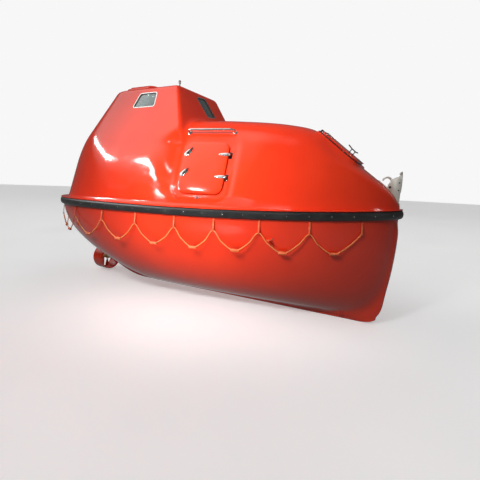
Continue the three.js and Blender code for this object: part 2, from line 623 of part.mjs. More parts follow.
for (const [name, { wide, high }] of Object.entries(WINDOWS)) {
  const back = -GLASS_THICK - GLASS_SUNK + GAP;
  const pane = roundedPlate(wide - 2 * GAP, high - 2 * GAP, WINDOW_CORNER, back, -GLASS_SUNK);
  node(name, pane, glass(), FRAMES[name]);
}

// What lies in the hull is trimmed to its inner face, a touch inside it
const fitted = (geometry) => solid(geometry).intersect(hullBody(WALL + GAP));

const sole = boxBetween([SOLE.aft, SOLE.fore], [-BREADTH / 2, BREADTH / 2], [SOLE.bottom, SOLE.top]);
node("cabin_sole", geometryOf(fitted(sole)), liner(), boat);

function benchGeometry(side) {
  const along = [BENCH.aft, BENCH.fore];
  const top = boxBetween(along, [side * BENCH.y, side * BREADTH / 2], [BENCH.top - WALL, BENCH.top]);
  const front = [side * BENCH.y, side * (BENCH.y + WALL)];
  const panel = boxBetween(along, front, [SOLE.top + GAP, BENCH.top - WALL / 2]);
  return geometryOf(fitted(top).add(fitted(panel)));
}
node("bench_starboard", benchGeometry(-1), liner(), boat);
node("bench_port", benchGeometry(1), liner(), boat);

const engineBlock = boxBetween(ENGINE.x, [-ENGINE.half, ENGINE.half], ENGINE.z);
node("engine", geometryOf(fitted(engineBlock)), paint(0x5c6a63, 0.5, 0.3), boat);

function seatGeometry() {
  const { x, z, post, cushion, back, corner, lean } = SEAT;
  const stand = boxBetween([x - post, x + post], [-post, post], [ENGINE.z[1] + GAP, z]);
  const pad = roundedPlate(cushion[0], cushion[1], corner, -5, cushion[2] - 5).translate(x, 0, z);
  const rest = roundedPlate(back[0], back[1], corner, -back[2] / 2, back[2] / 2);
  rest.rotateZ(Math.PI / 2).rotateY(-Math.PI / 2 - lean).translate(x - 190, 0, z + 230);
  return geometryOf(add(solid(stand), solid(pad), solid(rest)));
}
node("helm_seat", seatGeometry(), black(), boat);

const wheelAxis = new THREE.Vector3(-1, 0, Math.tan(degrees(WHEEL.lean))).normalize();
const wheelCentre = new THREE.Vector3(WHEEL.x, 0, WHEEL.z);
const columnEnd = (along) => wheelCentre.clone().addScaledVector(wheelAxis, along).toArray();
const consoleBox = boxBetween(CONSOLE.x, [-CONSOLE.half, CONSOLE.half], [SOLE.top + GAP, CONSOLE.top]);
const column = bar(WHEEL.column, columnEnd(-WHEEL.shank), columnEnd(-WHEEL.depth / 2 - GAP), 16);
node("helm_console", geometryOf(solid(consoleBox).add(solid(column))), liner(), boat);

function wheelGeometry() {
  const { radius, rim, hub, depth } = WHEEL;
  const parts = [new THREE.TorusGeometry(radius, rim, 6, 20)];
  parts.push(new THREE.CylinderGeometry(hub, hub, depth, 20).rotateX(Math.PI / 2));
  for (const angle of [90, 210, 330]) {
    parts.push(box(radius, 22, 12, [radius / 2, 0, 0]).rotateZ(degrees(angle)));
  }
  return geometryOf(add(...parts.map(solid)));
}
const wheel = node("helm_wheel", wheelGeometry(), black(), boat);
wheel.position.copy(wheelCentre);
wheel.quaternion.setFromUnitVectors(new THREE.Vector3(0, 0, 1), wheelAxis);

// Steering nozzle: a ring round the propeller that turns about an upright stock, with a fin behind
function nozzleGeometry() {
  const { radius, bore, length, top } = NOZZLE;
  const half = length / 2;
  const section = [
    [bore + 6, -half],
    [radius - 8, -half],
    [radius, half / 2],
    [radius - 6, half - 8],
    [bore + 8, half],
    [bore, half / 2],
    [bore + 6, -half],
  ].map(([r, x]) => new THREE.Vector2(r, x));
  const ring = new THREE.LatheGeometry(section, 36).rotateZ(-Math.PI / 2).translate(STOCK_X, 0, SHAFT.z);
  const palmX = [STOCK_X - PALM.length / 2, STOCK_X + PALM.length / 2];
  const palm = boxBetween(palmX, [-PALM.width / 2, PALM.width / 2], [SHAFT.z + bore + 4, top]);
  const edge = bore + 5;
  const fin = sidePlate(
    [
      [STOCK_X - FIN.fore, SHAFT.z - edge],
      [STOCK_X - FIN.fore, SHAFT.z + edge],
      [STOCK_X - FIN.aft, SHAFT.z + edge - FIN.drop],
      [STOCK_X - FIN.aft, SHAFT.z - edge + FIN.drop],
    ],
    FIN.thick,
  );
  return geometryOf(add(solid(ring), solid(palm), solid(fin)));
}
node("steering_nozzle", nozzleGeometry(), orange(), boat);
const stock = bar(STOCK.radius, [STOCK_X, 0, NOZZLE.top + GAP], [STOCK_X, 0, STOCK.top], 20);
node("nozzle_stock", stock, steel(), boat);

function propellerGeometry() {
  const { count, tip, long, chord, thick, pitch } = BLADE;
  const parts = [bar(HUB.radius, [HUB.aft, 0, 0], [HUB.fore, 0, 0], 20)];
  for (let i = 0; i < count; i += 1) {
    const blade = new THREE.CylinderGeometry(1, 1, thick, 14).scale(chord / 2, 1, long / 2);
    blade.rotateZ(degrees(90 - pitch)).translate(0, 0, tip - long / 2);
    parts.push(blade.rotateX((2 * Math.PI * i) / count));
  }
  return geometryOf(add(...parts.map(solid)));
}
const propeller = node("propeller", propellerGeometry(), paint(0xb08d4a, 0.3, 1), boat);
propeller.position.set(STOCK_X, 0, SHAFT.z);
const shaft = bar(SHAFT.radius, [STOCK_X + HUB.fore + GAP, 0, SHAFT.z], [SHAFT.inner, 0, SHAFT.z], 20);
node("propeller_shaft", shaft, steel(), boat);

// What stands on the canopy is trimmed to its surface, a touch outside it
const clearOfCanopy = (body) => cut(body, canopyBody(-GAP), flangeBody(GAP));

function hookFrame({ x, z, way, foot }) {
  const upright = (top, fore, aft) =>
    [...top, [fore, foot - z], [aft, foot - z]].map(([dx, dz]) => [x + way * dx, z + dz]);
  const cheek = upright(CHEEK_TOP, CHEEK_TOP.at(-1)[0], CHEEK_TOP[0][0]);
  const blade = upright(BLADE_TOP, BLADE_TOP.at(-1)[0], BLADE_TOP[0][0]);
  const shift = (HOOK.inside + HOOK.plate) / 2;
  const parts = [-shift, shift].map((y) => sidePlate(cheek, HOOK.plate, y));
  parts.push(sidePlate(blade, HOOK.inside + 2), crossBar(HOOK.pin, x, z, HOOK.inside));
  const eye = crossBar(BLADE_EYE.radius, x + way * BLADE_EYE.x, z + BLADE_EYE.z, HOOK.inside, 16);
  return geometryOf(clearOfCanopy(add(...parts.map(solid)).subtract(solid(eye))));
}

// The jaw arches from its pin over the fall's ring, and swings away from it to let go
function hookJaw({ x, z, way }) {
  const arch = new THREE.Shape();
  arch.absarc(JAW.x, JAW.z, JAW.outer, degrees(JAW.from), degrees(JAW.to), false);
  arch.absarc(JAW.x, JAW.z, JAW.inner, degrees(JAW.to), degrees(JAW.from), true);
  const claw = new THREE.ExtrudeGeometry(arch, { depth: JAW.thick, bevelEnabled: false, curveSegments: 12 });
  claw.rotateX(Math.PI / 2).translate(0, JAW.thick / 2, 0);
  const lug = crossBar(HOOK.lug, 0, 0, JAW.thick / 2);
  const bore = crossBar(HOOK.pin + BEARING_GAP, 0, 0, JAW.thick);
  const body = geometryOf(solid(claw).add(solid(lug)).subtract(solid(bore)));
  return body.rotateZ(way > 0 ? 0 : Math.PI).translate(x, 0, z);
}

for (const [name, hook] of Object.entries({ bow: BOW_HOOK, stern: STERN_HOOK })) {
  node(`${name}_hook_frame`, hookFrame(hook), steel(), boat);
  node(`${name}_hook_jaw`, hookJaw(hook), steel(), boat);
}

function railGeometry(frame) {
  const { half, up, out, radius, foot } = RAIL;
  const parts = [bar(radius, [-half - radius, up, out], [half + radius, up, out], 10)];
  for (const end of [-half, half]) {
    parts.push(bar(radius, [end, up, out + radius / 2], [end, up, foot], 10));
  }
  return geometryOf(clearOfCanopy(add(...parts.map((part) => solid(placed(part, frame))))));
}
node("rail_starboard", railGeometry(FRAMES.starboard), steel(), boat);
node("rail_port", railGeometry(FRAMES.port), steel(), boat);

// Position lamp on a short mast: each part overlaps the one below it
const lampParts = [];
let lampFoot = ROOF_Z + GAP;
for (const [radius, top] of [LAMP.base, LAMP.mast, LAMP.light]) {
  lampParts.push(solid(bar(radius, [LAMP.x, 0, lampFoot], [LAMP.x, 0, ROOF_Z + top], 16)));
  lampFoot = ROOF_Z + top - 5;
}
node("position_lamp", geometryOf(add(...lampParts)), paint(0xe8e6dc, 0.4), boat);

// Lifelines, with a float threaded on the rope at the bottom of every loop
function lifelineGeometry(side) {
  const points = lifelinePoints(side);
  const parts = [ropeGeometry(side, ROPE.diameter / 2)];
  for (let low = POINTS_PER_BIGHT / 2; low < points.length; low += POINTS_PER_BIGHT) {
    const along = points[low + 1].clone().sub(points[low - 1]).setZ(0).setLength(FLOAT.length / 2);
    const from = points[low].clone().sub(along).toArray();
    const to = points[low].clone().add(along).toArray();
    parts.push(bar(FLOAT.radius, from, to, FLOAT.sides));
  }
  return geometryOf(add(...parts.map(solid)));
}
node("lifeline_starboard", lifelineGeometry(-1), rope(), boat);
node("lifeline_port", lifelineGeometry(1), rope(), boat);

export default boat;
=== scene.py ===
"""Looks of an enclosed lifeboat, 5 m long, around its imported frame.

Metres. +X is the bow, +Y is port and +Z is up. The origin lies on the waterline, amidships on the
centreline. The gunwale is 0.6 m above it, and heights inside a form count from the gunwale.
"""

import logging
import math
from dataclasses import dataclass
from enum import Enum
from typing import Callable

import bmesh
import bpy
import numpy as np
from mathutils import Matrix


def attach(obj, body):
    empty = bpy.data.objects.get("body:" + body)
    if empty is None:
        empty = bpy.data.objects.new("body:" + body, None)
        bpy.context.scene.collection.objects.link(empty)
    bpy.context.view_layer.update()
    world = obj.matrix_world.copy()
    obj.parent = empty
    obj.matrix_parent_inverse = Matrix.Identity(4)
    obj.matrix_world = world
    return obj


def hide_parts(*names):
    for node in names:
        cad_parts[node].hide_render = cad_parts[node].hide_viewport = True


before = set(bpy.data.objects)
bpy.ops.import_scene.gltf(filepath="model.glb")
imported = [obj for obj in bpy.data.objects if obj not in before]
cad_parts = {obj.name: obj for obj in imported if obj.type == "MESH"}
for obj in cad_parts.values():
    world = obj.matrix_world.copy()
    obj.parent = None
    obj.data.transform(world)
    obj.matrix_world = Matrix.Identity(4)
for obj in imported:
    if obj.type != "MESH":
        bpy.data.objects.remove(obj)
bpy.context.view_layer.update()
log = logging.getLogger("lifeboat")

Array = np.ndarray
Field = Callable[[Array], Array]

LENGTH = 5.0
BREADTH = 2.28
GUNWALE = 0.6
FLOOR_Z = -0.6045
WIDEST_X = -0.622
SHEER_AT_BOW = 0.076
WALL = 0.03
RIM = 0.047
FENDER_PROUD = 0.045
FLANGE_THICK = 0.012
CANOPY_INSET = 0.1
NOSE_INSET = 0.045
NOSE_X = 2.455
WALL_LEAN = 0.27
FORE_AND_AFT = np.array([1.0, 0.0, 0.0])
ATHWART = np.array([0.0, 1.0, 0.0])
UPRIGHT = np.array([0.0, 0.0, 1.0])


# Numbers and directions


def unit(vectors: Array) -> Array:
    """Vectors brought to length 1."""
    return vectors / np.maximum(np.linalg.norm(vectors, axis=-1, keepdims=True), 1e-12)


def sheer(x: Array) -> Array:
    """Rise of the gunwale towards the bow, which grows with the square of x."""
    return np.where(x > 0, SHEER_AT_BOW * (x / (LENGTH / 2)) ** 2, 0.0)


def soft_max(first: Array, second: Array, width: float | Array) -> Array:
    """Larger of two fields, rounded where they are close.

    The formula is the larger one plus (width - difference)^2 / (4 width) where that difference is
    smaller than the width, which is a parabola tangent to both.

    Args:
        first: one field's values.
        second: the other field's values.
        width: how close the two are where the rounding starts.

    Returns:
        The rounded maximum.
    """
    near = np.maximum(width - np.abs(first - second), 0)
    return np.maximum(first, second) + near * near / (4 * width)


def soft_min(first: Array, second: Array, width: float | Array) -> Array:
    """Smaller of two fields, rounded where they are close."""
    return -soft_max(-first, -second, width)


def smooth(share: Array) -> Array:
    """Step from 0 to 1 without a kink: 3 t^2 - 2 t^3."""
    t = np.clip(share, 0, 1)
    return t * t * (3 - 2 * t)


def distance(level: Field, points: Array, step: float = 1e-4) -> Array:
    """A field's value over its slope, which is close to the distance from its surface.

    Args:
        level: a field that is negative inside.
        points: places, three numbers each.
        step: how far apart the slope is measured.

    Returns:
        The distances, negative inside.
    """
    here = level(points)
    slope = sum(((level(points + step * axis) - here) / step) ** 2 for axis in np.eye(3))
    return here / np.sqrt(slope + 1e-12)


def cast(level: Field, origins: Array, directions: Array, reach: float, rounds: int = 24) -> Array:
    """Where rays that start inside a form leave it, by halving the stretch that holds the surface.

    Args:
        level: a field that is negative inside the form.
        origins: where the rays start.
        directions: their unit directions.
        reach: a distance that is outside on every ray.
        rounds: how often the stretch is halved.

    Returns:
        One point on the surface for each ray.
    """
    near = np.zeros(origins.shape[:-1])
    far = np.full(origins.shape[:-1], reach)
    for _ in range(rounds):
        middle = (near + far) / 2
        inside = level(origins + middle[..., None] * directions) < 0
        near = np.where(inside, middle, near)
        far = np.where(inside, far, middle)
    return origins + near[..., None] * directions


def eased(x: Array, knots: Array, values: Array) -> Array:
    """Smooth curve through a table's values that never overshoots them.

    Each slope is the harmonic mean of the slopes on both sides, or 0 where these disagree, and the
    pieces between are cubic.

    Args:
        x: where the curve is read.
        knots: the table's places, in rising order.
        values: the table's values.

    Returns:
        The curve's values.
    """
    run = np.diff(knots)
    rate = np.diff(values) / run
    slopes = np.empty(len(knots))
    slopes[0], slopes[-1] = rate[0], rate[-1]
    both = rate[:-1] * rate[1:]
    total = rate[:-1] + rate[1:]
    slopes[1:-1] = np.where(both > 0, 2 * both / np.where(total == 0, 1, total), 0)
    inner = np.clip(x, knots[0], knots[-1])
    k = np.clip(np.searchsorted(knots, inner) - 1, 0, len(run) - 1)
    t = (inner - knots[k]) / run[k]
    rise = (2 * t**3 - 3 * t**2 + 1) * values[k] + (3 * t**2 - 2 * t**3) * values[k + 1]
    return rise + run[k] * ((t**3 - 2 * t**2 + t) * slopes[k] + (t**3 - t**2) * slopes[k + 1])


@dataclass(frozen=True)
class Place:
    """A local frame: where it is and its three directions."""

    at: Array
    x: Array
    y: Array
    z: Array

    def out(self, points: Array) -> Array:
        """Local points as points of the boat."""
        p = np.asarray(points, float)
        return self.at + p[..., 0:1] * self.x + p[..., 1:2] * self.y + p[..., 2:3] * self.z

    def local(self, points: Array) -> tuple[Array, Array, Array]:
        """Points of the boat as local x, y and z."""
        d = points - self.at
        return d @ self.x, d @ self.y, d @ self.z

    def shifted(self, x: float = 0.0, y: float = 0.0, z: float = 0.0) -> "Place":
        """The same frame, moved along its own directions."""
        return Place(self.out(np.array([x, y, z])), self.x, self.y, self.z)

    def turned(self, degrees: float) -> "Place":
        """The same frame, turned about its own z."""
        c, s = math.cos(math.radians(degrees)), math.sin(math.radians(degrees))
        return Place(self.at, c * self.x + s * self.y, c * self.y - s * self.x, self.z)


def place(at: Array, along: Array, out: Array) -> Place:
    """A frame with local x along one direction and local z square to it, out of a surface."""
    z = unit(np.asarray(out, float))
    x = unit(np.asarray(along, float) - (np.asarray(along, float) @ z) * z)
    return Place(np.asarray(at, float), x, np.cross(z, x), z)




# Sheets and pieces


@dataclass
class Sheet:
    """A grid of points, rows by columns, and the finish of its faces.

    A row or column that repeats the first one closes the sheet, and a row drawn together in one point
    is a pole. Both are welded when sheets become a piece.
    """

    points: Array
    finish: int = 0
    chart: Array | None = None
    ends: bool = False

    def on(self, where: Place) -> "Sheet":
        """The sheet with its local points put in a frame."""
        return Sheet(where.out(self.points), self.finish, self.chart, self.ends)

    def mirrored(self) -> "Sheet":
        """The sheet on the other side of the boat."""
        return Sheet(self.points * np.array([1.0, -1.0, 1.0]), self.finish, self.chart, self.ends)

    def quads(self) -> Array:
        """Corners of the faces between neighbouring rows and columns."""
        rows, cols = self.points.shape[:2]
        r = np.arange(rows - 1)[:, None] * cols
        c = np.arange(cols - 1)[None, :]
        return np.stack([r + c, r + c + 1, r + cols + c + 1, r + cols + c], -1).reshape(-1, 4)


def mesh_of(name: str, sheets: list[Sheet], crease: float) -> bpy.types.Mesh:
    """One mesh from sheets, welded, facing outwards, smooth except at creases.

    Args:
        name: the mesh's name.
        sheets: the grids that it is made of.
        crease: the angle in degrees past which an edge stays sharp.

    Returns:
        The mesh.
    """
    corners, starts, finishes, charts = [], [], [], []
    first = count = 0
    for sheet in sheets:
        quads = sheet.quads() + first
        cols = sheet.points.shape[1]
        parts = [(quads.ravel(), np.arange(len(quads)) * 4)]
        if sheet.ends:
            last = first + sheet.points.shape[0] * cols - cols
            parts.append((first + np.arange(cols - 1), np.zeros(1, int)))
            parts.append((last + np.arange(cols - 1)[::-1], np.zeros(1, int)))
        flat = np.zeros((*sheet.points.shape[:2], 2)) if sheet.chart is None else sheet.chart
        for ring, begins in parts:
            corners.append(ring)
            starts.append(begins + count)
            finishes.append(np.full(len(begins), sheet.finish))
            charts.append(flat.reshape(-1, 2)[ring - first])
            count += len(ring)
        first += sheet.points.shape[0] * cols
    mesh = bpy.data.meshes.new(name)
    mesh.vertices.add(first)
    mesh.vertices.foreach_set("co", np.concatenate([s.points.reshape(-1, 3) for s in sheets]).ravel())
    mesh.loops.add(count)
    mesh.loops.foreach_set("vertex_index", np.concatenate(corners).astype(np.int32))
    faces = np.concatenate(starts).astype(np.int32)
    mesh.polygons.add(len(faces))
    mesh.polygons.foreach_set("loop_start", faces)
    mesh.polygons.foreach_set("material_index", np.concatenate(finishes).astype(np.int32))
    if any(s.chart is not None for s in sheets):
        mesh.uv_layers.new(name="chart").data.foreach_set("uv", np.concatenate(charts).ravel())
    mesh.update(calc_edges=True)
    shell = bmesh.new()
    shell.from_mesh(mesh)
    bmesh.ops.remove_doubles(shell, verts=shell.verts, dist=3e-6)
    bmesh.ops.recalc_face_normals(shell, faces=shell.faces)
    shell.to_mesh(mesh)
    shell.free()
    mesh.shade_smooth()
    mesh.set_sharp_from_angle(angle=math.radians(crease))
    return mesh


def thing(name: str, sheets: list[Sheet], finishes: list, crease: float = 34.0) -> bpy.types.Object:
    """An object from sheets, in its finishes."""
    made = bpy.data.objects.new(name, mesh_of(name, sheets, crease))
    for finish in finishes:
        made.data.materials.append(finish.material())
    bpy.context.scene.collection.objects.link(made)
    return made


def fasten(
    made: bpy.types.Object, body: str, stands_for: tuple[str, ...] = ()
) -> bpy.types.Object:
    """Makes a piece ride on a body and stand for its nodes, and reports it.

    Args:
        made: the piece.
        body: the body that it moves with.
        stands_for: the nodes that it replaces.

    Returns:
        The piece.
    """
    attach(made, body)
    if stands_for:
        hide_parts(*stands_for)
    size = np.array(made.dimensions)
    log.info("%s on %s, %d faces, %.3f x %.3f x %.3f m", made.name, body, len(made.data.polygons), *size)
    return made


def carve(made: bpy.types.Object, tools: list[bpy.types.Object], operation: str = "DIFFERENCE") -> None:
    """Cuts tools out of an object or joins them to it, and removes the tools.

    Args:
        made: the object that is changed.
        tools: closed objects.
        operation: what is done with each of them.
    """
    for tool in tools:
        step = made.modifiers.new("carve", "BOOLEAN")
        step.operation = operation
        step.solver = "MANIFOLD"
        step.object = tool
    bpy.context.view_layer.update()
    whole = made.evaluated_get(bpy.context.evaluated_depsgraph_get())
    mesh = bpy.data.meshes.new_from_object(whole)
    made.modifiers.clear()
    old = made.data
    made.data = mesh
    bpy.data.meshes.remove(old)
    for tool in tools:
        bpy.data.objects.remove(tool)


# Shapes as grids


def rounded(wide: float, high: float, corner: float, steps: int = 8) -> tuple[Array, Array]:
    """Outline of a rectangle with round corners, closed, and its outward normals.

    Each corner's point is its centre plus the corner's radius along the normal.

    Args:
        wide: size along local x.
        high: size along local y.
        corner: radius of the corners.
        steps: faces round each corner.

    Returns:
        The outline's points and its normals.
    """
    angle = np.radians(np.arange(4)[:, None] * 90 + np.linspace(0, 90, steps + 1)[None, :])
    normals = np.stack([np.cos(angle), np.sin(angle)], -1)
    signs = np.array([[1, 1], [-1, 1], [-1, -1], [1, -1]])[:, None, :]
    centres = signs * np.array([wide / 2 - corner, high / 2 - corner])
    points = (centres + corner * normals).reshape(-1, 2)
    around = normals.reshape(-1, 2)
    return np.vstack([points, points[:1]]), np.vstack([around, around[:1]])


def drawn(corners: list[tuple[float, float]], softened: int = 2) -> tuple[Array, Array]:
    """Outline through corners with each corner cut off again and again, and its outward normals.

    A cut leaves points at a quarter and at three quarters of every side.

    Args:
        corners: the corners, anticlockwise.
        softened: how often the corners are cut.

    Returns:
        The closed outline's points and its normals.
    """
    points = np.array(corners, float)
    for _ in range(softened):
        after = np.roll(points, -1, 0)
        points = np.stack([0.75 * points + 0.25 * after, 0.25 * points + 0.75 * after], 1).reshape(-1, 2)
    side = np.roll(points, -1, 0) - np.roll(points, 1, 0)
    normals = unit(np.stack([side[:, 1], -side[:, 0]], -1))
    return np.vstack([points, points[:1]]), np.vstack([normals, normals[:1]])


def cornered(corners: list[tuple[float, float]], radius: float, steps: int = 6) -> tuple[Array, Array]:
    """Outline through corners, each rounded by a parabola between its sides, and its outward normals.

    Args:
        corners: the corners, anticlockwise.
        radius: how far from a corner its rounding starts.
        steps: faces round each corner.

    Returns:
        The closed outline's points and its normals.
    """
    ring = np.array(corners, float)
    start = (ring[-1] + ring[0]) / 2
    points = bent([start, *ring, start], radius, steps)[:-1]
    side = np.roll(points, -1, 0) - np.roll(points, 1, 0)
    normals = unit(np.stack([side[:, 1], -side[:, 0]], -1))
    return np.vstack([points, points[:1]]), np.vstack([normals, normals[:1]])


def outset(outline: tuple[Array, Array], amount: float) -> tuple[Array, Array]:
    """An outline moved outwards along its normals."""
    return outline[0] + amount * outline[1], outline[1]


def carried(outline: tuple[Array, Array], profile: list[tuple[float, ...]]) -> Array:
    """A profile carried round a closed outline.

    A row is the outline, shrunk by the profile's share, moved by its outset along the normals and
    raised by its height.

    Args:
        outline: points and normals in the plane.
        profile: outset, height and, where it isn't 1, share of each row.

    Returns:
        The grid's points.
    """
    table = np.array([(*row, 1.0)[:3] for row in profile])
    points, normals = outline
    flat = table[:, 2, None, None] * points + table[:, 0, None, None] * normals
    height = np.broadcast_to(table[:, 1, None, None], (*flat.shape[:2], 1))
    return np.concatenate([flat, height], -1)


def slab(outline: tuple[Array, Array], low: float, high: float, edge: float, steps: int = 3) -> Sheet:
    """A plate between two heights with rounded edges: quarter circles join its sides to its faces."""
    turn = np.linspace(0, math.pi / 2, steps + 1)
    back = [(-edge * (1 - math.sin(a)), low + edge * (1 - math.cos(a))) for a in turn]
    front = [(-edge * (1 - math.cos(a)), high - edge * (1 - math.sin(a))) for a in turn]
    return Sheet(carried(outline, back + front), ends=True)


def stuffed(wide: float, long: float, thick: float, corner: float, crown: float) -> list[Sheet]:
    """A cushion in local x, y and z: both faces bulge and have a stitched groove, and piping goes round it.

    A face's height is half the thickness plus the crown times 1 - k^2, less a narrow bell round k = 0.7,
    with k going from 0 in the middle to 1 at the rim.

    Args:
        wide: size along local x.
        long: size along local y.
        thick: thickness at the rim.
        corner: radius of the corners.
        crown: how far the faces bulge.

    Returns:
        The cover and its piping.
    """
    outline = rounded(wide, long, corner, 8)
    k = np.linspace(0, 0.985, 30)
    height = thick / 2 + crown * (1 - k * k) - 0.003 * np.exp(-(((k - 0.7) / 0.035) ** 2))
    face = np.stack([-0.5 * thick * k, height, k], -1)
    turn = np.linspace(-math.pi / 2, math.pi / 2, 11)
    rim = np.stack([-0.5 * thick * (1 - np.cos(turn)), 0.5 * thick * np.sin(turn), 0 * turn + 1], -1)
    under = face * np.array([1, -1, 1])
    cover = carried(outline, [tuple(row) for row in np.vstack([under, rim, face[::-1]])])
    turn = np.linspace(0, 2 * math.pi, 9)
    piping = carried(outline, [(0.0045 * math.cos(a), 0.0045 * math.sin(a)) for a in turn])
    return [Sheet(cover), Sheet(piping)]


def lathe(profile: list[tuple[float, float]], steps: int = 28) -> Array:
    """A profile of radius and height turned about local z."""
    table = np.array(profile)
    angle = np.linspace(0, 2 * math.pi, steps + 1)
    ring = np.stack([np.cos(angle), np.sin(angle)], -1)
    ring[-1] = ring[0]
    flat = table[:, 0, None, None] * ring
    return np.concatenate([flat, np.broadcast_to(table[:, 1, None, None], (*flat.shape[:2], 1))], -1)


def bent(corners: list[Array], radius: float, steps: int = 8) -> Array:
    """A path along straight runs with round bends: each corner becomes a parabola between its runs."""
    points = [np.asarray(c, float) for c in corners]
    path = [points[0]]
    t = np.linspace(0, 1, steps + 1)[:, None]
    for before, corner, after in zip(points, points[1:], points[2:]):
        start = corner + radius * unit(before - corner)
        end = corner + radius * unit(after - corner)
        path.extend((1 - t) ** 2 * start + 2 * t * (1 - t) * corner + t**2 * end)
    path.append(points[-1])
    return np.array(path)


def lengths(path: Array) -> Array:
    """Length along a path up to each of its points."""
    return np.concatenate([[0], np.cumsum(np.linalg.norm(np.diff(path, axis=0), axis=1))])


def tube(path: Array, radius: float | Array, square_to: Array, sides: int = 12) -> Sheet:
    """A round or lobed bar along a path, with flat ends.

    A point is the path's point plus the radius times (cos a, sin a) in the plane square to the path.

    Args:
        path: the points of its middle line.
        radius: one radius, one for each point, or one for each point and side.
        square_to: a direction that the path never runs along.
        sides: faces round the bar.

    Returns:
        The bar, with lengths along and around it as its chart.
    """
    along = unit(np.gradient(path, axis=0))
    across = unit(np.cross(along, square_to))
    up = np.cross(across, along)
    angle = np.linspace(0, 2 * math.pi, sides + 1)
    size = np.asarray(radius, float)
    size = size[:, None, None] if size.ndim == 1 else size[..., None]
    ring = np.cos(angle)[None, :, None] * across[:, None] + np.sin(angle)[None, :, None] * up[:, None]
    points = path[:, None] + size * ring
    points[:, -1] = points[:, 0]
    chart = np.stack(np.broadcast_arrays(lengths(path)[:, None], angle[None, :] / (2 * math.pi)), -1)
    return Sheet(points, chart=chart, ends=True)


def sweep(path: Array, section: Array, side: Array, up: Array) -> Array:
    """A section of (side, up) offsets carried along a path, with both directions given at each point."""
    return path[:, None] + section[None, :, :1] * side[:, None] + section[None, :, 1:] * up[:, None]


def bolt(radius: float, high: float) -> Sheet:
    """Domed head on a washer, its height falling with the square of the radius, on local z = 0."""
    t = np.linspace(1, 0, 5)
    dome = [(radius * k, high * (0.35 + 0.65 * (1 - k * k))) for k in t]
    return Sheet(
        lathe(
            [
                (0, -0.002), (1.35 * radius, -0.002), (1.35 * radius, 0.16 * high), (radius, 0.2 * high),
                *dome,
            ],
            14,
        )
    )


# Forms of the hull and the canopy


@dataclass(frozen=True)
class Plan:
    """Plan curve round the boat.

    The half breadth is half (1 - t^n)^(1/m), with t going from 0 at the widest place to 1 at each end.
    """

    half: float | Array
    fore: float | Array
    aft: float | Array
    bow: tuple = (1.75, 1.81)
    stern: tuple = (3.13, 1.7)

    def level(self, x: Array, y: Array) -> Array:
        """t^n + (y / half)^m - 1, which is 0 on the curve and negative inside."""
        ahead = x > WIDEST_X
        end = np.where(ahead, self.fore, self.aft) - WIDEST_X
        n = np.where(ahead, self.bow[0], self.stern[0])
        m = np.where(ahead, self.bow[1], self.stern[1])
        return np.abs((x - WIDEST_X) / end) ** n + (np.abs(y) / np.maximum(self.half, 1e-6)) ** m - 1

    def half_at(self, x: Array) -> Array:
        """Half breadth at x."""
        ahead = x > WIDEST_X
        end = np.where(ahead, self.fore, self.aft) - WIDEST_X
        n = np.where(ahead, self.bow[0], self.stern[0])
        m = np.where(ahead, self.bow[1], self.stern[1])
        return self.half * (1 - np.clip(np.abs((x - WIDEST_X) / end), 0, 1) ** n) ** (1 / m)

    def ring(self, angles: Array) -> tuple[Array, Array]:
        """x and y of the curve, where x runs with the cosine of the angle from the widest place."""
        end = np.where(np.cos(angles) > 0, self.fore - WIDEST_X, WIDEST_X - self.aft)
        x = WIDEST_X + end * np.cos(angles)
        return x, self.half_at(x) * np.where(angles <= math.pi, 1, -1)


def inset(amount: float | Array) -> Plan:
    """The fender's outer plan, moved inwards."""
    return Plan(BREADTH / 2 - amount, LENGTH / 2 - amount, -LENGTH / 2 + amount)


def ring_angles(plan: Plan, spacing: Callable[[Array, Array], Array]) -> Array:
    """Angles round a plan whose points are as far apart as asked.

    The count along the curve is the sum of length over spacing, and the angles divide it evenly.

    Args:
        plan: the curve.
        spacing: the wished distance at x and y.

    Returns:
        Angles from 0 to a full turn, the same on both sides.
    """
    fine = np.linspace(0, math.pi, 6001)
    x, y = plan.ring(fine)
    step = np.hypot(np.diff(x), np.diff(y)) / spacing((x[1:] + x[:-1]) / 2, (y[1:] + y[:-1]) / 2)
    count = np.concatenate([[0], np.cumsum(step)])
    half = np.interp(np.linspace(0, count[-1], int(count[-1]) + 1), count, fine)
    return np.concatenate([half, 2 * math.pi - half[-2::-1]])


def dome(level: Field, ring: Array, spine: tuple[float, float], rises: Array, way: float) -> Array:
    """A form's surface over a ring, found along rays from a spine on the centreline.

    A ray starts on the spine abreast of its ring point. It points at the ring where the rise is 0 and
    straight up or down where the rise is a right angle.

    Args:
        level: the form's field.
        ring: the ring's points.
        spine: the spine's ends.
        rises: angle of each row above the level.
        way: 1 for rays that turn up and -1 for rays that turn down.

    Returns:
        The grid's points.
    """
    origins = np.stack([np.clip(ring[:, 0], *spine), np.zeros(len(ring)), ring[:, 2]], -1)
    flat = unit(ring - origins)
    lift = np.sin(rises)[:, None, None] * way * UPRIGHT
    level_part = np.where(rises > math.pi / 2 - 1e-9, 0, np.cos(rises))[:, None, None] * flat[None]
    starts = np.broadcast_to(origins[None], level_part.shape)
    return cast(level, starts, unit(level_part + lift), 3.2)


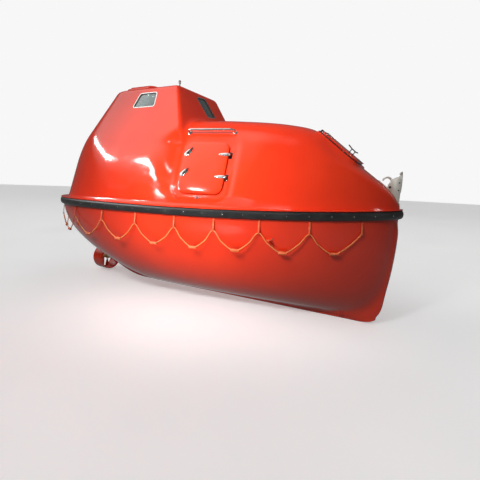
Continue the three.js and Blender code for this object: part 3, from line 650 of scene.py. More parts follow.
@dataclass(frozen=True)
class HullForm:
    """Hull below the gunwale: level plans that shrink with depth, while stem and stern rake inwards."""

    depth: float = 1.15
    side: tuple = (1.85, 2.05)
    stern_rake: tuple = (1.9, 2.05)
    stem_rake: tuple = (0.33, 5.0, 0.04)
    stern_fills_out: float = 1.2
    shortest_run: float = 0.04
    keel_half: float = 0.05
    keel_edge: float = 0.02
    garboard: float = 0.085

    def plan(self, share: Array, wall: float = 0.0) -> Plan:
        """Plan at a share of the depth, from 0 at the gunwale to 1 on the underside."""
        top = inset(FENDER_PROUD + wall)
        reach, power, slope = self.stem_rake
        return Plan(
            top.half * np.maximum(1 - share ** self.side[0], 0) ** (1 / self.side[1]),
            top.fore - reach * share**power - slope * share,
            np.minimum(
                top.aft + self.stern_rake[0] * share ** self.stern_rake[1], WIDEST_X - self.shortest_run
            ),
            stern=(3.13 - self.stern_fills_out * share, 1.7 + self.stern_fills_out * share),
        )

    def moulded(self, points: Array) -> Array:
        """The plan's field at the share of depth of each point."""
        x, y, z = points[..., 0], points[..., 1], points[..., 2]
        share = (sheer(x) - z) / (sheer(x) + self.depth)
        return self.plan(np.clip(share, 0, 0.9995)).level(x, y)

    def keel(self, points: Array) -> Array:
        """Distance from the keel and stem bar: an outline on the centreline, as wide as the bar."""
        flat = outline_distance(points[..., [0, 2]], drawn(KEEL_LINE, 2)[0])
        return soft_max(flat, np.abs(points[..., 1]) - self.keel_half, self.keel_edge)

    def level(self, points: Array) -> Array:
        """The hull's skin with its keel, faired together by a hollow."""
        skin = np.maximum(distance(self.moulded, points), -self.depth - points[..., 2])
        return soft_min(skin, self.keel(points), self.garboard)

    def inner(self, angles: Array, rows: int) -> Array:
        """Inner face of the laminate, from the rim down to the underside."""
        share = np.sin(np.linspace(0, math.pi / 2, rows))[:, None] * 0.9995
        x, y = self.plan(share, WALL).ring(np.broadcast_to(angles, (rows, len(angles))))
        z = sheer(x) * (1 - share) - (self.depth - WALL) * share
        skin = np.stack([x, y, z], -1)
        skin[-1, :, 1] = 0
        rim = skin[:1] + np.array([0, 0, RIM])
        return np.concatenate([rim, skin])


KEEL_LINE = [
    (2.38, -0.06), (2.1, -0.9), (1.7, -1.0), (-0.9, -1.0), (-1.16, -1.02), (-1.21, -1.2), (-1.0, -1.2),
    (1.6, -1.2), (2.1, -1.2), (2.188, -1.2), (2.265, -1.178), (2.33, -1.13), (2.372, -1.065),
    (2.394, -0.98), (2.408, -0.8), (2.428, -0.54), (2.448, -0.3), (2.448, -0.1),
]  # fmt: skip
SKEG_LINE = [
    (-2.085, -0.45), (-2.085, -0.62), (-2.085, -0.758), (-1.93, -0.758), (-1.79, -0.758), (-1.79, -0.9),
    (-1.79, -1.03), (-1.74, -1.048), (-1.59, -1.111), (-1.387, -1.173), (-1.21, -1.199), (-0.9, -1.199),
    (-0.8, -1.1), (-0.9, -1.0), (-1.5, -0.7),
]  # fmt: skip


def outline_distance(points: Array, outline: Array) -> Array:
    """Signed distance from an outline in the plane, negative inside.

    The size is the distance to the nearest side. The sign comes from how many sides a line to one side
    crosses.

    Args:
        points: places in the plane.
        outline: the outline's corners, with the first one repeated at the end.

    Returns:
        The distances.
    """
    nearest = np.full(points.shape[:-1], np.inf)
    inside = np.zeros(points.shape[:-1], bool)
    for a, b in zip(outline, outline[1:]):
        side = b - a
        away = points - a
        t = np.clip(away @ side / max(side @ side, 1e-12), 0, 1)
        nearest = np.minimum(nearest, ((away - t[..., None] * side) ** 2).sum(-1))
        crosses = (a[1] > points[..., 1]) != (b[1] > points[..., 1])
        turn = side[0] * away[..., 1] / (side[1] if side[1] else 1e-12)
        inside ^= crosses & (away[..., 0] < turn)
    return np.where(inside, -1, 1) * np.sqrt(nearest)


def side_seat() -> Place:
    """Seat of the starboard hatch: x forward, y up the seat and z out of the boat."""
    turn, lean = math.radians(10), math.radians(24.6)
    along = np.array([math.cos(turn), math.sin(turn), 0])
    level_out = np.array([math.sin(turn), -math.cos(turn), 0])
    out = math.cos(lean) * level_out + math.sin(lean) * UPRIGHT
    return place(np.array([0.411, -0.768, 0.493]), along, out)


def end_seat(x: float, z: float, slope: float, way: float, rise: float) -> Place:
    """Seat of a hatch on the centreline: x athwart, y up the slope and z out of the boat."""
    tilt = math.radians(slope)
    up = np.array([-way * math.cos(tilt), 0, math.sin(tilt)])
    out = np.array([way * math.sin(tilt), 0, math.cos(tilt)])
    return place(np.array([x, 0, z]) + rise * out, np.cross(up, out), out)


SIDE_SEAT = side_seat()
BOW_SEAT = end_seat(1.775, 0.762, 38.5, 1, 0.014)
AFT_SEAT = end_seat(-1.602, 1.12, 59, -1, 0.014)
ROOF_SEAT = end_seat(-0.99, 1.54, 0, -1, 0.046)


def lifted(where: Place) -> Place:
    """A frame whose height counts from the gunwale, with its height from the waterline."""
    return Place(where.at + GUNWALE * UPRIGHT, where.x, where.y, where.z)


def plate(x: Array, y: Array, wide: float, high: float, corner: float) -> Array:
    """Signed distance from a rectangle with round corners, negative inside.

    Outside a corner's square it is the distance from the corner's centre less its radius, and elsewhere
    the larger distance from the sides.
    """
    across = np.abs(x) - wide / 2
    along = np.abs(y) - high / 2
    over_x, over_y = np.maximum(across + corner, 0), np.maximum(along + corner, 0)
    inside = (over_x <= 0) & (over_y <= 0)
    return np.hypot(over_x, over_y) - corner + np.where(inside, np.maximum(across, along) + corner, 0)


class Opening(Enum):
    """Kinds of opening in the canopy, with the outline of each."""

    SIDE = (0.489, 0.594, 0.067)
    BOW = (0.424, 0.474, 0.067)
    AFT = (0.424, 0.414, 0.067)
    ROOF = (0.544, 0.404, 0.067)


@dataclass(frozen=True)
class CanopyForm:
    """Canopy above the gunwale.

    A leaning box for the helm, kept within walls that follow the gunwale, is joined to a long forward
    part and to a flat pad for each side hatch. Every join and edge is rounded.
    """

    roof: float = 1.54
    roof_half: float = 0.455
    side_lean: float = 0.45
    front: tuple = (-0.216, 0.42)
    aft: tuple = (-1.35, 0.6)
    aft_corner: float = 0.46
    edge: float = 0.045
    knuckle: float = 0.022
    junction: float = 0.05
    pad: tuple = (0.669, 0.774, 0.126, 0.22)
    pad_slant: float = 1.2
    pad_edge: float = 0.022
    clear_edge: float = 0.05
    aft_stretch: float = 4.0
    skirt: float = 1.0
    skirt_deep: float = 0.1

    def forward(self, points: Array) -> Array:
        """Forward part: at every x a wall, a leaning side and a parabola up to the crown."""
        y, z = np.abs(points[..., 1]), points[..., 2]
        x = np.clip(points[..., 0], SECTIONS[0, 0], NOSE_X)
        crown, low, lean, straight, half = (np.interp(x, FINE_X, row) for row in FINE_ROWS)
        wall = y - half + WALL_LEAN * (z - RIM - sheer(x))
        knuckle_y = np.maximum(half - WALL_LEAN * (low - RIM - sheer(x)), 0.01)
        turn_y = np.maximum(knuckle_y - lean * (crown - low), 0.01)
        shoulder = (crown - low) * (1 - straight)
        side = (y - knuckle_y + lean * (z - low)) / turn_y
        top = soft_max(side, (z - crown) / shoulder, 1.0)
        past = np.maximum(points[..., 0] - NOSE_X, SECTIONS[0, 0] - points[..., 0])
        return np.maximum(np.maximum(top * 0.2, wall), past)

    def box(self, points: Array) -> Array:
        """Helm tower's sides and after face, without its front, roof and walls."""
        down = self.roof - points[..., 2]
        half = self.roof_half + self.side_lean * down
        side = (np.abs(points[..., 1]) - half) / math.hypot(1, self.side_lean)
        aft = (self.aft[0] - self.aft[1] * down - points[..., 0]) / math.hypot(1, self.aft[1])
        return soft_max(side, aft, self.aft_corner * half)

    def tower(self, points: Array) -> Array:
        """Helm tower: roof, sides, front and after face, inside the leaning walls."""
        x, y, z = points[..., 0], np.abs(points[..., 1]), points[..., 2]
        down = self.roof - z
        front = (x - self.front[0] - self.front[1] * down) / math.hypot(1, self.front[1])
        box = soft_max(soft_max(self.box(points), front, self.edge), -down, self.edge)
        plan = inset(CANOPY_INSET + WALL_LEAN * (z - RIM))
        walls = plan.level(x, y) / self.steepness(plan, x, y)
        return soft_max(box, walls, self.knuckle)

    def steepness(self, plan: Plan, x: Array, y: Array) -> Array:
        """Slope of a plan's field, across and along, with the walls' lean."""
        here = plan.level(x, y)
        step = 1e-4
        slope = np.hypot((plan.level(x + step, y) - here) / step, (plan.level(x, y + step) - here) / step)
        return np.maximum(slope, 0.05) * math.hypot(1, WALL_LEAN)

    def body(self, points: Array) -> Array:
        """Tower and forward part, joined by a hollow that fades out along the tower's side."""
        x, z = points[..., 0], points[..., 2]
        held = self.box(points) + self.junction - 0.15 * np.maximum(x + 0.6, 0) - 3 * np.maximum(x + 0.25, 0)
        forward = np.maximum(distance(self.forward, points), held)
        width = 0.004 + (self.junction - 0.004) * smooth((z - 0.55) / 0.4)
        return soft_min(self.tower(points), forward, width)

    def level(self, points: Array) -> Array:
        """The whole canopy's field."""
        body = self.body(points)
        wide, high, corner, depth = self.pad
        starboard = np.stack([points[..., 0], -np.abs(points[..., 1]), points[..., 2]], -1)
        x, y, z = SIDE_SEAT.local(starboard)
        flat = plate(x + (1 - 1 / self.aft_stretch) * np.maximum(-x - wide / 2, 0), y, wide, high, corner)
        clearing = np.maximum((flat - self.pad_slant * z) / math.hypot(1, self.pad_slant), -(z + 0.03))
        body = soft_max(body, -clearing, self.clear_edge)
        body = soft_min(body, np.maximum(np.maximum(flat, z), -(z + depth)), self.pad_edge)
        for seat, kind in ((BOW_SEAT, Opening.BOW), (AFT_SEAT, Opening.AFT)):
            x, y, z = seat.local(points)
            flat = plate(x, y, kind.value[0] + 0.15, kind.value[1] + 0.15, 0.13)
            ramp = (flat + self.skirt * (z + 0.016)) / math.hypot(1, self.skirt)
            body = soft_min(body, np.maximum(np.maximum(ramp, z + 0.016), -(z + self.skirt_deep)), 0.02)
        return body

    def skin(self, angles: Array, rises: Array, wall: float = 0.0) -> Array:
        """A face of the laminate over the canopy's foot, a wall's thickness inside the surface."""
        x, y = inset(CANOPY_INSET + wall).ring(angles)
        ring = np.stack([x, y, RIM + sheer(x)], -1)
        return dome(lambda p: self.level(p) + wall, ring, (-1.1, 1.775), rises, 1)

    def foot(self, origin: Array, direction: Array) -> Array:
        """Where a line from inside the canopy comes out."""
        return cast(self.level, np.asarray(origin, float), unit(np.asarray(direction, float)), 2.5)


SECTIONS = np.array([  # x, crown, knuckle, lean of the side, share of the side that is straight
    (-0.9, 1.142, 0.42, 0.46, 0.62), (-0.3, 1.142, 0.4, 0.46, 0.62), (0.235, 1.13, 0.3, 0.46, 0.64),
    (0.75, 1.1, 0.21, 0.45, 0.66), (1.03, 1.074, 0.17, 0.42, 0.66), (1.258, 1.04, 0.145, 0.39, 0.66),
    (1.44, 0.998, 0.135, 0.35, 0.66), (1.59, 0.915, 0.135, 0.31, 0.66), (1.823, 0.718, 0.135, 0.25, 0.66),
    (2.056, 0.548, 0.14, 0.2, 0.66), (2.226, 0.418, 0.145, 0.2, 0.64), (2.34, 0.322, 0.14, 0.2, 0.6),
    (2.41, 0.238, 0.125, 0.2, 0.55), (2.455, 0.16, 0.11, 0.2, 0.5),
])  # fmt: skip
FINE_X = np.linspace(SECTIONS[0, 0], NOSE_X, 1600)
FINE_ROWS = [eased(FINE_X, SECTIONS[:, 0], SECTIONS[:, k]) for k in range(1, 5)]
FORE_PLAN = Plan(BREADTH / 2 - CANOPY_INSET, LENGTH / 2 - NOSE_INSET, CANOPY_INSET - LENGTH / 2)
FINE_ROWS.append(np.maximum(FORE_PLAN.half_at(FINE_X), 0.025))

HULL = HullForm()
CANOPY = CanopyForm()


# Shader maths


class Value:
    """A node's output that Python's operators combine; each one adds a Math node."""

    def __init__(self, graph: "Graph", socket: bpy.types.NodeSocket) -> None:
        """Wraps a socket of a graph."""
        self.graph = graph
        self.socket = socket

    def _math(self, operation: str, first: "Value | float", second: "Value | float") -> "Value":
        """A Math node on two values."""
        return self.graph.node("ShaderNodeMath", {"operation": operation}, {0: first, 1: second})

    def __add__(self, other: "Value | float") -> "Value":
        """Sum."""
        return self._math("ADD", self, other)

    def __radd__(self, other: float) -> "Value":
        """Sum."""
        return self._math("ADD", other, self)

    def __sub__(self, other: "Value | float") -> "Value":
        """Difference."""
        return self._math("SUBTRACT", self, other)

    def __rsub__(self, other: float) -> "Value":
        """Difference from a number."""
        return self._math("SUBTRACT", other, self)

    def __mul__(self, other: "Value | float") -> "Value":
        """Product."""
        return self._math("MULTIPLY", self, other)

    def __rmul__(self, other: float) -> "Value":
        """Product."""
        return self._math("MULTIPLY", other, self)

    def __pow__(self, other: float) -> "Value":
        """Power."""
        return self._math("POWER", self, other)

    def between(self, low: float, high: float) -> "Value":
        """0 below the low value, 1 above the high one, and a straight line between."""
        settings = {"clamp": True}
        return self.graph.node("ShaderNodeMapRange", settings, {0: self, 1: low, 2: high, 3: 0.0, 4: 1.0})


class Graph:
    """The nodes of one tree."""

    def __init__(self, tree: bpy.types.NodeTree) -> None:
        """Works in an empty tree."""
        self.tree = tree

    def node(
        self,
        kind: str,
        settings: dict | None = None,
        inputs: dict | None = None,
        output: int | str | None = 0,
    ) -> "Value | None":
        """Adds a node.

        Args:
            kind: the node's type.
            settings: its own settings, set first; stops are a ramp's places and colours.
            inputs: values or links of its sockets, by name or place.
            output: the socket that is returned.

        Returns:
            The output, ready for more maths.
        """
        made = self.tree.nodes.new(kind)
        for key, value in (settings or {}).items():
            if key == "stops":
                self._stops(made.color_ramp, value)
            else:
                setattr(made, key, value)
        for key, value in (inputs or {}).items():
            if isinstance(value, Value):
                self.tree.links.new(value.socket, made.inputs[key])
            else:
                made.inputs[key].default_value = value
        return None if output is None else Value(self, made.outputs[output])

    def _stops(self, ramp: bpy.types.ColorRamp, stops: list[tuple[float, tuple]]) -> None:
        """Sets a ramp's places and colours."""
        while len(ramp.elements) < len(stops):
            ramp.elements.new(1.0)
        for element, (where, colour) in zip(ramp.elements, stops):
            element.position = where
            element.color = (*colour, 1.0)

    def here(self, scale: tuple[float, float, float] = (1, 1, 1)) -> Value:
        """Object coordinates, scaled."""
        spot = self.node("ShaderNodeTexCoord", output="Object")
        return self.node("ShaderNodeMapping", {}, {"Vector": spot, "Scale": scale})

    def noise(
        self, scale: float, detail: float = 2.0, roughness: float = 0.5, spot: Value | None = None
    ) -> Value:
        """Noise over the piece, from 0 to 1."""
        inputs = {"Vector": spot or self.here(), "Scale": scale, "Detail": detail, "Roughness": roughness}
        return self.node("ShaderNodeTexNoise", {}, inputs)

    def mix(self, share: "Value | float", first: "Value | tuple", second: "Value | tuple") -> Value:
        """Colour between two colours."""
        colours = [c if isinstance(c, Value) else (*c, 1.0) for c in (first, second)]
        return self.node(
            "ShaderNodeMix", {"data_type": "RGBA"}, {0: share, 6: colours[0], 7: colours[1]}, 2
        )

    def bump(self, height: Value, depth: float, under: Value | None = None) -> Value:
        """Normal of a height field, with the depth in metres."""
        inputs = {"Strength": 1.0, "Distance": depth, "Height": height}
        if under is not None:
            inputs["Normal"] = under
        return self.node("ShaderNodeBump", {}, inputs)

    def done(self, **inputs: object) -> None:
        """Ends the graph with its surface shader, whose inputs are given with _ for a space."""
        named = {key.replace("_", " "): value for key, value in inputs.items()}
        named = {k: (*v, 1.0) if isinstance(v, tuple) and len(v) == 3 else v for k, v in named.items()}
        shader = self.node("ShaderNodeBsdfPrincipled", {}, named)
        self.node("ShaderNodeOutputMaterial", {}, {"Surface": shader}, None)


def painted(name: str, build: Callable[[Graph], None]) -> bpy.types.Material:
    """A material whose nodes are built in its emptied tree."""
    made = bpy.data.materials.new(name)
    made.use_nodes = True
    made.node_tree.nodes.clear()
    build(Graph(made.node_tree))
    return made


# Finishes

Colour = tuple[float, float, float]
MADE: dict[str, bpy.types.Material] = {}


@dataclass(frozen=True)
class Finish:
    """A surface finish. Each kind builds its own material once."""

    name: str

    def build(self, graph: Graph) -> None:
        """Builds the material's nodes."""
        raise NotImplementedError

    def material(self) -> bpy.types.Material:
        """The finish's material, built at the first call."""
        if self.name not in MADE:
            MADE[self.name] = painted(self.name, self.build)
        return MADE[self.name]


@dataclass(frozen=True)
class Gelcoat(Finish):
    """Pigmented gelcoat over laminate: glossy, with long waves, a faint weave and a few dull patches."""

    colour: Colour = (0.86, 0.042, 0.009)
    deep: Colour = (0.74, 0.026, 0.007)
    rough: float = 0.085
    wave: float = 0.004

    def build(self, graph: Graph) -> None:
        """Builds the material's nodes."""
        patch = graph.noise(1.3, 3.0, 0.55).between(0.35, 0.7)
        colour = graph.mix(patch * 0.5, self.colour, self.deep)
        specks = graph.noise(160.0, 2.0).between(0.68, 0.8)
        colour = graph.mix(specks * 0.1, colour, (0.9, 0.3, 0.15))
        dull = graph.noise(6.0, 4.0, 0.6).between(0.45, 0.8)
        waves = graph.bump(graph.noise(3.4, 1.5), self.wave)
        waves = graph.bump(graph.noise(12.0, 1.0), self.wave * 0.06, waves)
        weave = graph.bump(graph.noise(420.0, 1.0), self.wave * 0.006, waves)
        graph.done(
            Base_Color=colour, Roughness=self.rough + 0.1 * dull, Normal=weave, Specular_IOR_Level=0.45
        )


@dataclass(frozen=True)
class Rubber(Finish):
    """Black rubber: matt skin with fine pores, greyer where it is rubbed."""

    colour: Colour = (0.012, 0.012, 0.013)
    rough: float = 0.42

    def build(self, graph: Graph) -> None:
        """Builds the material's nodes."""
        rubbed = graph.noise(7.0, 5.0, 0.65).between(0.45, 0.75)
        colour = graph.mix(rubbed * 0.5, self.colour, (0.05, 0.048, 0.047))
        pores = graph.bump(graph.noise(260.0, 3.0), 0.0002)
        graph.done(Base_Color=colour, Roughness=self.rough + 0.2 * rubbed, Normal=pores)


@dataclass(frozen=True)
class Floor(Finish):
    """Pale matt floor paint, barely clouded."""

    def build(self, graph: Graph) -> None:
        """Builds the material's nodes."""
        tone = graph.noise(0.6, 2.0).between(0.3, 0.7)
        colour = graph.mix(tone, (0.8, 0.8, 0.8), (0.84, 0.84, 0.84))
        rough = 0.9 - 0.05 * tone
        graph.done(Base_Color=colour, Roughness=rough, Emission_Color=colour, Emission_Strength=0.42)


@dataclass(frozen=True)
class Metal(Finish):
    """Bare metal: polished or brushed, with small stains."""

    colour: Colour = (0.68, 0.67, 0.63)
    stain: Colour = (0.3, 0.2, 0.12)
    rough: float = 0.17
    brushed: float = 0.00006

    def build(self, graph: Graph) -> None:
        """Builds the material's nodes."""
        spots = graph.noise(38.0, 5.0, 0.7).between(0.58, 0.75)
        colour = graph.mix(spots * 0.35, self.colour, self.stain)
        lines = graph.noise(90.0, 3.0, 0.6, graph.here((1.0, 1.0, 9.0)))
        graph.done(
            Base_Color=colour, Metallic=1.0, Roughness=self.rough + 0.22 * spots + 0.1 * lines,
            Normal=graph.bump(lines, self.brushed),
        )  # fmt: skip


@dataclass(frozen=True)
class Liner(Finish):
    """Rolled flow coat inside the shell: matt, with the laminate's texture under it."""

    colour: Colour = (0.62, 0.58, 0.49)
    rough: float = 0.55

    def build(self, graph: Graph) -> None:
        """Builds the material's nodes."""
        stain = graph.noise(4.0, 4.0, 0.6).between(0.4, 0.8)
        colour = graph.mix(stain * 0.3, self.colour, (0.42, 0.38, 0.3))
        strands = graph.bump(graph.noise(75.0, 4.0, 0.7), 0.0006)
        graph.done(Base_Color=colour, Roughness=self.rough + 0.15 * stain, Normal=strands)


@dataclass(frozen=True)
class Pane(Finish):
    """Toughened window pane: smoky green, with dried drops."""

    tint: Colour = (0.3, 0.42, 0.4)

    def build(self, graph: Graph) -> None:
        """Builds the material's nodes."""
        drops = graph.noise(120.0, 3.0).between(0.62, 0.72)
        colour = graph.mix(drops * 0.4, self.tint, (0.6, 0.62, 0.6))
        graph.done(
            Base_Color=colour, Roughness=0.02 + 0.25 * drops, Transmission_Weight=0.75, IOR=1.5,
            Coat_Weight=0.4,
        )  # fmt: skip


@dataclass(frozen=True)
class Rope(Finish):
    """Laid rope: yarns that run round the strands, fuzzy, and some of them faded."""

    colour: Colour = (0.86, 0.21, 0.05)
    faded: Colour = (0.95, 0.37, 0.12)

    def build(self, graph: Graph) -> None:
        """Builds the material's nodes."""
        spot = graph.node("ShaderNodeTexCoord", output="UV")
        yarns = graph.noise(
            1.0, 2.0, 0.5, graph.node("ShaderNodeMapping", {}, {"Vector": spot, "Scale": (500, 30, 1)})
        )
        colour = graph.mix(yarns.between(0.3, 0.7), self.colour, self.faded)
        graph.done(Base_Color=colour, Roughness=0.75 + 0.1 * yarns, Normal=graph.bump(yarns, 0.0006))


@dataclass(frozen=True)
class Foam(Finish):
    """Skinned foam or webbing: soft, slightly pitted."""

    colour: Colour = (0.85, 0.16, 0.05)
    rough: float = 0.6

    def build(self, graph: Graph) -> None:
        """Builds the material's nodes."""
        pits = graph.noise(300.0, 3.0)
        worn = graph.noise(22.0, 3.0).between(0.5, 0.75)
        colour = graph.mix(worn * 0.5, self.colour, (0.95, 0.4, 0.2))
        graph.done(Base_Color=colour, Roughness=self.rough + 0.1 * worn, Normal=graph.bump(pits, 0.0003))


@dataclass(frozen=True)
class Paint(Finish):
    """Brushed or moulded coating in one colour, with dirt in it."""

    colour: Colour = (0.1, 0.13, 0.12)
    dirt: Colour = (0.05, 0.045, 0.04)
    rough: float = 0.45
    grain: float = 90.0

    def build(self, graph: Graph) -> None:
        """Builds the material's nodes."""
        patch = graph.noise(9.0, 5.0, 0.6).between(0.45, 0.75)
        colour = graph.mix(patch * 0.6, self.colour, self.dirt)
        skin = graph.bump(graph.noise(self.grain, 2.0), 0.0003)
        graph.done(Base_Color=colour, Roughness=self.rough + 0.2 * patch, Normal=skin)


ORANGE = Gelcoat("gelcoat_orange")
FENDER = Rubber("fender_rubber")
GASKET = Rubber("gasket_rubber", (0.02, 0.018, 0.017), 0.55)
STEEL = Metal("polished_stainless")
DARK_STEEL = Metal("darkened_steel", (0.09, 0.085, 0.08), (0.12, 0.06, 0.03), 0.34, 0.0001)
CAST = Metal("cast_stainless", (0.9, 0.87, 0.79), (0.46, 0.36, 0.22), 0.36, 0.0001)
BRONZE = Metal("cast_bronze", (0.5, 0.29, 0.1), (0.12, 0.17, 0.12), 0.28, 0.0002)
CREAM = Liner("liner_cream")
GLASS = Pane("window_pane")
ROPE = Rope("laid_rope")
FLOAT = Foam("float_foam")
WEBBING = Foam("strap_webbing", (0.8, 0.12, 0.04), 0.75)
VINYL = Paint("seat_vinyl", (0.018, 0.018, 0.019), (0.05, 0.047, 0.045), 0.42, 240.0)
ENGINE = Paint("engine_paint", (0.12, 0.16, 0.14))
LAMP = Paint("lamp_white", (0.75, 0.74, 0.7), (0.5, 0.47, 0.4), 0.25, 60.0)


# Camera, light and floor


class Use(Enum):
    """What a lamp is for: light only, or reflection only."""

    FILL = "fill"
    GLINT = "glint"


@dataclass(frozen=True)
class Lamp:
    """A rectangular lamp.

    Its power is the radiance times its area and pi. The fan is the angle over which it spreads, and the
    roll turns it about its own axis.
    """

    name: str
    use: Use
    at: tuple
    towards: tuple
    size: tuple
    radiance: float
    fan: float = 180.0
    roll: float = 0.0


@dataclass(frozen=True)
class Studio:
    """The camera at the picture's viewing place, a pale floor and soft light."""

    eye: tuple = (2.682489, -4.19695, 0.93006)
    right: tuple = (0.884782, 0.46407, 0.042425)
    up: tuple = (-0.110141, 0.11979, 0.986671)
    ahead: tuple = (-0.452803, 0.877661, -0.157101)
    lens: float = 26.293
    sensor: float = 36.0

    def camera(self) -> None:
        """Sets up the camera."""
        lens = bpy.data.cameras.new("camera")
        lens.lens, lens.sensor_width = self.lens, self.sensor
        lens.clip_end = 200
        made = bpy.data.objects.new("camera", lens)
        axes = Matrix((self.right, self.up, [-a for a in self.ahead])).transposed().to_4x4()
        axes.translation = self.eye
        made.matrix_world = axes
        bpy.context.scene.collection.objects.link(made)
        bpy.context.scene.camera = made

    def lamp(self, lamp: Lamp) -> None:
        """Adds a soft rectangular light, which the camera doesn't see."""
        data = bpy.data.lights.new(lamp.name, "AREA")
        data.shape = "RECTANGLE"
        data.size, data.size_y = lamp.size
        data.energy = lamp.radiance * math.pi * lamp.size[0] * lamp.size[1]
        data.spread = math.radians(lamp.fan)
        made = bpy.data.objects.new(lamp.name, data)
        back = unit(np.array(lamp.at, float) - np.array(lamp.towards, float))
        side = unit(np.cross(UPRIGHT, back) + 1e-6 * FORE_AND_AFT)
        axes = Matrix((side, np.cross(back, side), back)).transposed().to_4x4()
        axes = axes @ Matrix.Rotation(math.radians(lamp.roll), 4, "Z")
        axes.translation = lamp.at
        made.matrix_world = axes
        made.visible_camera = False
        made.visible_glossy = lamp.use is not Use.FILL
        made.visible_diffuse = lamp.use is not Use.GLINT
        bpy.context.scene.collection.objects.link(made)

    def floor(self) -> None:
        """Lays a wide round floor just under the keel, unseen by reflections and by bounced light."""
        rings = lathe([(0, 0), (6, 0), (20, 0), (60, 0)], 64)
        mesh = mesh_of("floor", [Sheet(rings + FLOOR_Z * UPRIGHT)], 30)
        mesh.materials.append(Floor("floor_paint").material())
        made = bpy.data.objects.new("floor", mesh)
        bpy.context.scene.collection.objects.link(made)
        made.visible_diffuse = made.visible_glossy = False

    def sky(self) -> None:
        """Pale for the camera; as light, dim, with a bright patch high aft and gloss from below."""
        world = bpy.data.worlds.new("studio")
        bpy.context.scene.world = world
        world.use_nodes = True
        world.node_tree.nodes.clear()
        graph = Graph(world.node_tree)
        way = graph.node("ShaderNodeTexCoord", output="Generated")
        parts = [graph.node("ShaderNodeSeparateXYZ", {}, {0: way}, k) for k in range(3)]
        towards = -0.56 * parts[0] - 0.31 * parts[1] + 0.77 * parts[2]
        light = 0.1 + 0.05 * parts[2].between(-0.1, 0.9)
        seen = graph.node("ShaderNodeLightPath", output="Is Camera Ray")
        spread = graph.node("ShaderNodeLightPath", output="Is Diffuse Ray")
        light = light + 1.9 * towards.between(0.84, 0.97) * (1.0 - 0.75 * spread)
        low = (-1.0 * parts[2]).between(0.0, 0.3) * (1.0 - spread)
        strength = (light + 0.3 * low) * (1.0 - seen) + 0.93 * seen
        back = graph.node("ShaderNodeBackground", {}, {"Color": (1.0, 1.0, 1.0, 1.0), "Strength": strength})
        graph.node("ShaderNodeOutputWorld", {}, {"Surface": back}, None)

    def build(self) -> None:
        """Sets up the whole studio."""
        self.camera()
        self.floor()
        self.sky()
        for lamp in LAMPS:
            self.lamp(lamp)
        bpy.context.scene.view_settings.view_transform = "Standard"


LAMPS = (
    Lamp("key", Use.FILL, (0.45, -4.3, 2.9), (0.3, -0.9, 1.0), (1.4, 1.0), 7.2, 60),
    Lamp("bounce", Use.FILL, (0.3, -3.1, -0.5), (0.3, -0.9, 0.15), (1.5, 0.4), 2.6, 50),
    Lamp("overhead", Use.FILL, (-0.5, 0.3, 12.0), (-0.5, 0.3, 0.0), (30.0, 30.0), 0.35),
    Lamp("lid", Use.GLINT, (-0.85, -3.9, 3.55), (0.55, -0.9, 0.9), (0.22, 0.05), 22, 70),
    Lamp("quarter", Use.GLINT, (-3.0, -3.9, 3.3), (-0.3, -0.9, 1.1), (1.7, 0.18), 16, 70, -20),
    Lamp("far_quarter", Use.GLINT, (-6.6, -3.2, 4.6), (-1.2, -0.8, 1.3), (1.8, 0.3), 14, 70),
    Lamp("low", Use.GLINT, (-1.95, -3.9, 2.25), (0.0, -1.0, 0.8), (0.3, 0.06), 16, 70),
    Lamp("side", Use.GLINT, (2.0, -4.4, 2.3), (1.3, -0.7, 0.7), (0.9, 0.06), 12, 70),
    Lamp("bow", Use.GLINT, (5.1, -1.1, 1.3), (2.2, -0.3, 0.8), (0.7, 0.03), 9, 70),
)


# Lifelines

ROUTE = np.array([
    (2.15, 0.425, -0.13), (2.05, 0.475, -0.25), (1.91, 0.555, -0.35), (1.765, 0.63, -0.265),
    (1.67, 0.68, -0.155), (1.57, 0.715, -0.27), (1.42, 0.765, -0.37), (1.27, 0.815, -0.28),
    (1.17, 0.85, -0.17), (1.07, 0.875, -0.29), (0.925, 0.91, -0.38), (0.775, 0.945, -0.295),
    (0.68, 0.97, -0.18), (0.585, 0.985, -0.3), (0.44, 1.005, -0.39), (0.3, 1.03, -0.3),
    (0.205, 1.045, -0.185), (0.095, 1.055, -0.3), (-0.065, 1.075, -0.39), (-0.225, 1.09, -0.3),
    (-0.335, 1.1, -0.185), (-0.445, 1.1, -0.3), (-0.605, 1.105, -0.39), (-0.77, 1.105, -0.3),
    (-0.88, 1.11, -0.185), (-0.995, 1.095, -0.3), (-1.165, 1.08, -0.39), (-1.33, 1.065, -0.3),
    (-1.445, 1.055, -0.185), (-1.545, 1.015, -0.3), (-1.695, 0.955, -0.39), (-1.845, 0.9, -0.3),
    (-1.945, 0.86, -0.185), (-2.015, 0.79, -0.3), (-2.12, 0.685, -0.39), (-2.225, 0.58, -0.3),
    (-2.295, 0.51, -0.185),
]) + np.array([0, 0, GUNWALE])  # fmt: skip
HITCHES = np.array([
    (2.141, 0.414), (1.662, 0.666), (1.166, 0.836), (0.676, 0.954), (0.201, 1.033),
    (-0.334, 1.085), (-0.881, 1.094), (-1.442, 1.041), (-1.936, 0.848), (-2.285, 0.5),
])  # fmt: skip


